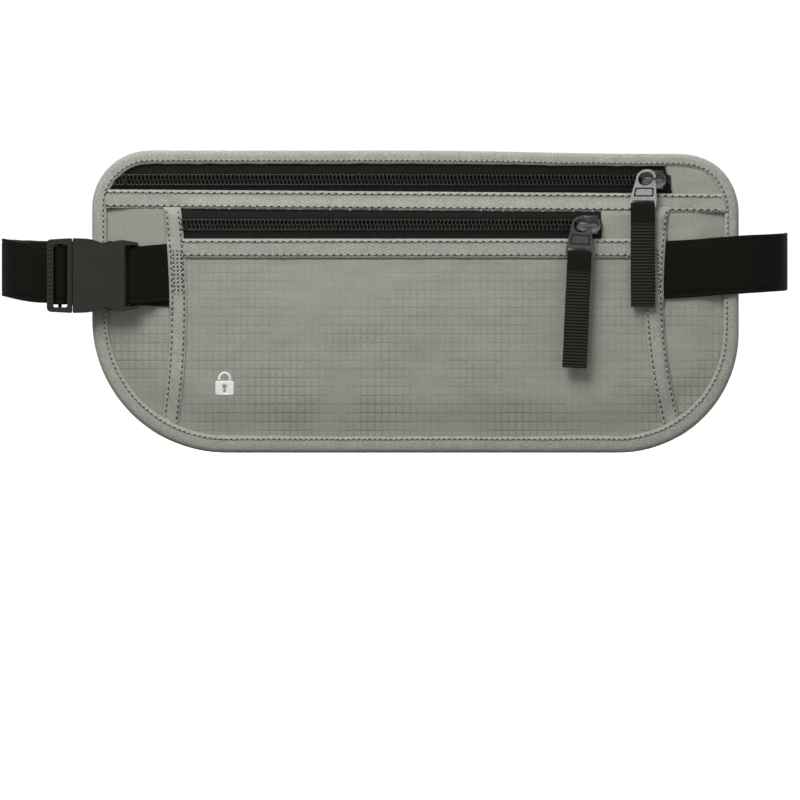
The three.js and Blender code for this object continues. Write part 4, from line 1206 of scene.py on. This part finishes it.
def male_half():
    """A ladder for the long strap, its inner bar, a tongue, and two side arms that squeeze in."""
    z, left, right, half = BUCKLE_Z, -159.4, -148.5, 16.2
    outer = rounded([(left, z - half + 0.6), (right, z - half), (right, z + half), (left, z + half - 0.6)],
                    (1.8, 0.8, 0.8, 1.8))
    opening = rounded(rectangle(-156.6, -150.6, z - 13.7, z + 13.7), 0.7)
    relief = slab(rectangle(left - 1, -156.4, z - 13.2, z + 13.2), -9.7, -7.0)
    moulded("buckle_male_ladder", slab(outer, -13.8, -8.2, [opening]), 0.75, ([relief],), 0.18, "buckle_male",
            "buckle_male")
    ridge_y, ridge_pitch = -13.75, 1.9
    heights = [z + k * ridge_pitch for k in range(-7, 8)]
    inner = [bead((-158.9, ridge_y, pz), (-156.95, ridge_y, pz), (0, -1, 0), 0.62) for pz in heights]
    inner.append(rod(arc(-153.8, -10.6, 0.8, 0.8, 0, 4, 13)[:-1], (z - 14.2, z + 14.2)))
    inner.append(slab(rounded(rectangle(-149.2, -132.0, z - 2.2, z + 2.2), 0.8), *CLASP_Y))
    inner.append(slab(rectangle(-149.2, -148.3, z - 12.9, z + 12.9), *CLASP_Y))
    face_outwards(build("buckle_male_bars", *merged(inner), ACETAL, "acetal", "buckle_male"))

    hinge_x, hinge_z = -146.6, 11.0
    # Along the arm from its hinge, and outwards.
    profile = [(0, -1.1), (16.4, -1.1), (17.4, 0), (17.4, 2.5), (16.6, 3.7)]
    profile += [(14.5 - 8 * t, 2.1 + 2.0 * (1 - t) ** 1.5) for t in np.linspace(0, 1, 7)]
    profile += [(5.5, 1.1), (0, 1.1), (-1.1, 0.6), (-1.1, -0.6)]
    for side, name in ((1, "upper"), (-1, "lower")):
        points = [(hinge_x + along, z + side * (hinge_z + out)) for along, out in profile]
        arm = build(f"buckle_arm_{name}", *slab(rounded(points, 0.5, 3), *CLASP_Y), ACETAL, "acetal",
                    f"prong_{name}", replaces=[f"buckle_prong_{name}"])
        soften(arm, 0.3)


def adjuster():
    """A frame with a bar across its middle, drawn in the box of its CAD part."""
    low, high = (np.array(corner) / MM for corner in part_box("strap_adjuster"))
    (left, front, bottom), (right, rear_y, top) = low, high
    side, half, bar_half, bar_t = 3.4, 12.9, 1.6, 2.4
    ring = rounded(rectangle(left, right, bottom, top), 4.2, 7)
    window = rounded(rectangle(left + side, right - side, STRAP_Z - half, STRAP_Z + half), 1.2)
    notch = slab(rectangle(left - 1, right + 1, STRAP_Z - half, STRAP_Z + half), front - 2, rear_y - bar_t)
    body = "strap_adjuster"
    moulded("adjuster_frame", slab(ring, front, rear_y, [window]), 1.0, ([notch],), 0.3, body, body)
    centre, reach = (left + right) / 2, half + 0.5
    bar = rectangle(centre - bar_half, centre + bar_half, STRAP_Z - reach, STRAP_Z + reach)
    soften(build("adjuster_bar", *slab(bar, front, front + bar_t), ACETAL, "acetal", body), 0.6)


# ------------------------------------------------------------------ rear
def air_mesh():
    """A knitted layer of staggered oval holes over a dark spacer.

    Each hole has four rings of eight points.
    """
    cell_w, cell_h = AIR_CELL
    border = [(1, 0), (1, 1), (0, 1), (-1, 1), (-1, 0), (-1, -1), (0, -1), (1, -1)]
    circle = [(math.cos(k * math.pi / 4), math.sin(k * math.pi / 4)) for k in range(8)]
    # The ring's shape, its width and height, and how far it is sunk.
    shapes = [(border, cell_w / 2, cell_h / 2, 0.0)]
    for wide, high, drop in ((1.3, 1.35, -0.02), (1, 1, 0.3), (0.9, 0.85, 1.0)):
        shapes.append((circle, AIR_HOLE[0] * wide, AIR_HOLE[1] * high, drop))
    vertices, faces, index = [], [], {}

    def vertex(x, z, drop):
        y = float(mesh_y(x, z)) - drop
        key = (round(x, 2), round(y, 2), round(z, 2))
        if key not in index:
            index[key] = len(vertices)
            vertices.append((x, y, z))
        return index[key]

    for row in range(int(2 * POUCH_HALF_H / cell_h) + 1):
        for column in range(int(2 * POUCH_HALF_W / cell_w) + 1):
            x = -POUCH_HALF_W + (column + 0.5 * (row % 2)) * cell_w
            z = -POUCH_HALF_H + row * cell_h
            if edge_distance(x, z) < 5.0 or past_mouth(x, z) > 0:
                continue
            rings = [[vertex(x + a * w, z + b * h, drop) for a, b in shape] for shape, w, h, drop in shapes]
            for a, b in zip(rings[:-1], rings[1:]):
                faces += [(a[k], b[k], b[(k + 1) % 8], a[(k + 1) % 8]) for k in range(8)]
    lattice = build("back_air_mesh", vertices, faces, AIR_MESH, "air_mesh", replaces=["back_mesh_panel"])
    spacer = clip(outline(5.5, 3.0), mouth_cut(1, 0))
    panel("back_mesh_spacer", spacer, 3.0, lambda x, z: mesh_y(x, z) - 0.75, SPACER, "air_mesh", rear=True,
          thickness=0.8)


def rear():
    """The inner back in the pocket's open corner, the mouth's hem, the air mesh, and the foil inside."""
    hem = MOUTH["hem"]
    corner = clip(outline(5.0, 3.0), mouth_cut(-1, 1 - hem))
    piece = panel("back_inner_cloth", corner, 1.8, back_y, RIPSTOP, "ripstop", rear=True,
                  replaces=["back_panel"])
    sewn_sheet(corner)
    band = clip(outline(5.5, 3.0), mouth_cut(-1, -hem), mouth_cut(1, hem))
    panel("back_pocket_band", band, 1.0, hem_y, TAPE, "grey_tape", rear=True, thickness=0.6,
          replaces=["back_pocket_hem"])
    rows = []
    for shift in (-2.7, 2.6):
        line = []
        for z in np.arange(60, -45, -2.0):
            x = (mouth_level(shift) - z * math.sin(MOUTH_ANGLE)) / math.cos(MOUTH_ANGLE)
            if edge_distance(x, z) > 8.5:
                line.append((x, hem_y(x, z).item() + 0.05, z))
        rows.append((line, 1, HEM_SEAM))
    stitches("back_hem", rows)
    air_mesh()
    for node in ("rfid_liner_rear", "rfid_liner_front"):
        repaint(node, FOIL)


# ------------------------------------------------------------------ printed mark
def mark():
    """A plain padlock, printed on the front pocket."""
    x, z = MARK["x"], MARK["z"]
    ink = {"material": INK, "slot": "ripstop", "thickness": 0.06}
    surface = lambda px, pz: pocket_y(px, pz) - 0.05
    body = rounded(rectangle(x - 4.0, x + 4.0, z - 5.2, z + 1.2), 0.9)
    keyhole = [(x + 0.95 * math.sin(a), z - 1.4 + 0.95 * math.cos(a)) for a in np.linspace(2.6, -2.6, 14)]
    keyhole += [(x - 0.75, z - 3.9), (x + 0.75, z - 3.9)]
    panel("print_padlock_body", body, 0.6, surface, holes=[np.array(keyhole)], **ink)
    outer, inner, low, high = 2.9, 1.8, z + 0.9, z + 2.2
    shackle = [(x + outer, low), *arc(x, high, outer, outer, 0, 2, 18), (x - outer, low)]
    shackle += [(x - inner, low), *arc(x, high, inner, inner, 2, 0, 16), (x + inner, low)]
    panel("print_padlock_bow", np.array(shackle), 0.6, surface, **ink)


# ------------------------------------------------------------------ camera, floor and light
def add_camera():
    """A distant camera, square to the front. VIEW gives its picture's width at the plane of the front."""
    camera = bpy.data.objects.new("camera", bpy.data.cameras.new("camera"))
    bpy.context.scene.collection.objects.link(camera)
    camera.data.sensor_width = SENSOR
    camera.data.lens = SENSOR * (VIEW["distance"] + VIEW["plane_y"]) / VIEW["width"]
    camera.data.clip_end = 30.0
    camera.location = (VIEW["x"] * MM, -VIEW["distance"] * MM, VIEW["z"] * MM)
    camera.rotation_euler = (math.pi / 2, 0, 0)
    bpy.context.scene.camera = camera


def add_floor():
    """A white floor just below the pouch, which glows a little so that it ends white against the sky."""
    half, level = 6.0, (-POUCH_HALF_H - 1.0) * MM
    mesh = bpy.data.meshes.new("floor")
    mesh.from_pydata([(x * half, y * half, level) for x, y in ((-1, -1), (1, -1), (1, 1), (-1, 1))], [],
                     [(0, 1, 2, 3)])
    floor = bpy.data.objects.new("floor", mesh)
    bpy.context.scene.collection.objects.link(floor)
    paint = Look("floor_paint", (0.9, 0.9, 0.89), 0.9)
    paint.shade(paint.grain(400.0, 1.0), 0.985, 1.01)
    paint.shader.inputs["Emission Color"].default_value = (1, 1, 0.995, 1)
    paint.shader.inputs["Emission Strength"].default_value = 0.6
    mesh.materials.append(paint.material)
    floor.visible_diffuse = False


def add_sky():
    """Soft white light, stronger from above, behind an even white that only the camera sees."""
    world = bpy.data.worlds.new("studio")
    bpy.context.scene.world = world
    world.use_nodes = True
    nodes, links = world.node_tree.nodes, world.node_tree.links
    nodes["Background"].inputs["Color"].default_value = (1.0, 1.0, 0.995, 1)
    direction = nodes.new("ShaderNodeSeparateXYZ")
    links.new(nodes.new("ShaderNodeTexCoord").outputs["Generated"], direction.inputs[0])
    sky = nodes.new("ShaderNodeMapRange")
    slope = {"From Min": -0.2, "From Max": 0.9, "To Min": SKY["low"], "To Max": SKY["high"]}
    for socket, value in slope.items():
        sky.inputs[socket].default_value = value
    links.new(direction.outputs["Z"], sky.inputs["Value"])
    strength = nodes.new("ShaderNodeMapRange")
    strength.inputs["To Max"].default_value = SKY["seen"]
    links.new(nodes.new("ShaderNodeLightPath").outputs["Is Camera Ray"], strength.inputs["Value"])
    links.new(sky.outputs[0], strength.inputs["To Min"])
    links.new(strength.outputs[0], nodes["Background"].inputs["Strength"])
    bpy.context.scene.view_settings.view_transform = "Standard"


def add_lights():
    """Area lights that face the origin."""
    for name, place, size, power in LIGHTS:
        light = bpy.data.objects.new(name, bpy.data.lights.new(name, "AREA"))
        bpy.context.scene.collection.objects.link(light)
        light.data.size = size
        light.data.energy = power
        light.location = place
        light.rotation_euler = (-Vector(place)).to_track_quat("-Z", "Y").to_euler()


add_camera()
add_floor()
add_sky()
add_lights()
front_panels()
strips()
binding()
zips()
belt()
female_half()
male_half()
adjuster()
rear()
mark()
binding_stitching()
strip_stitching()
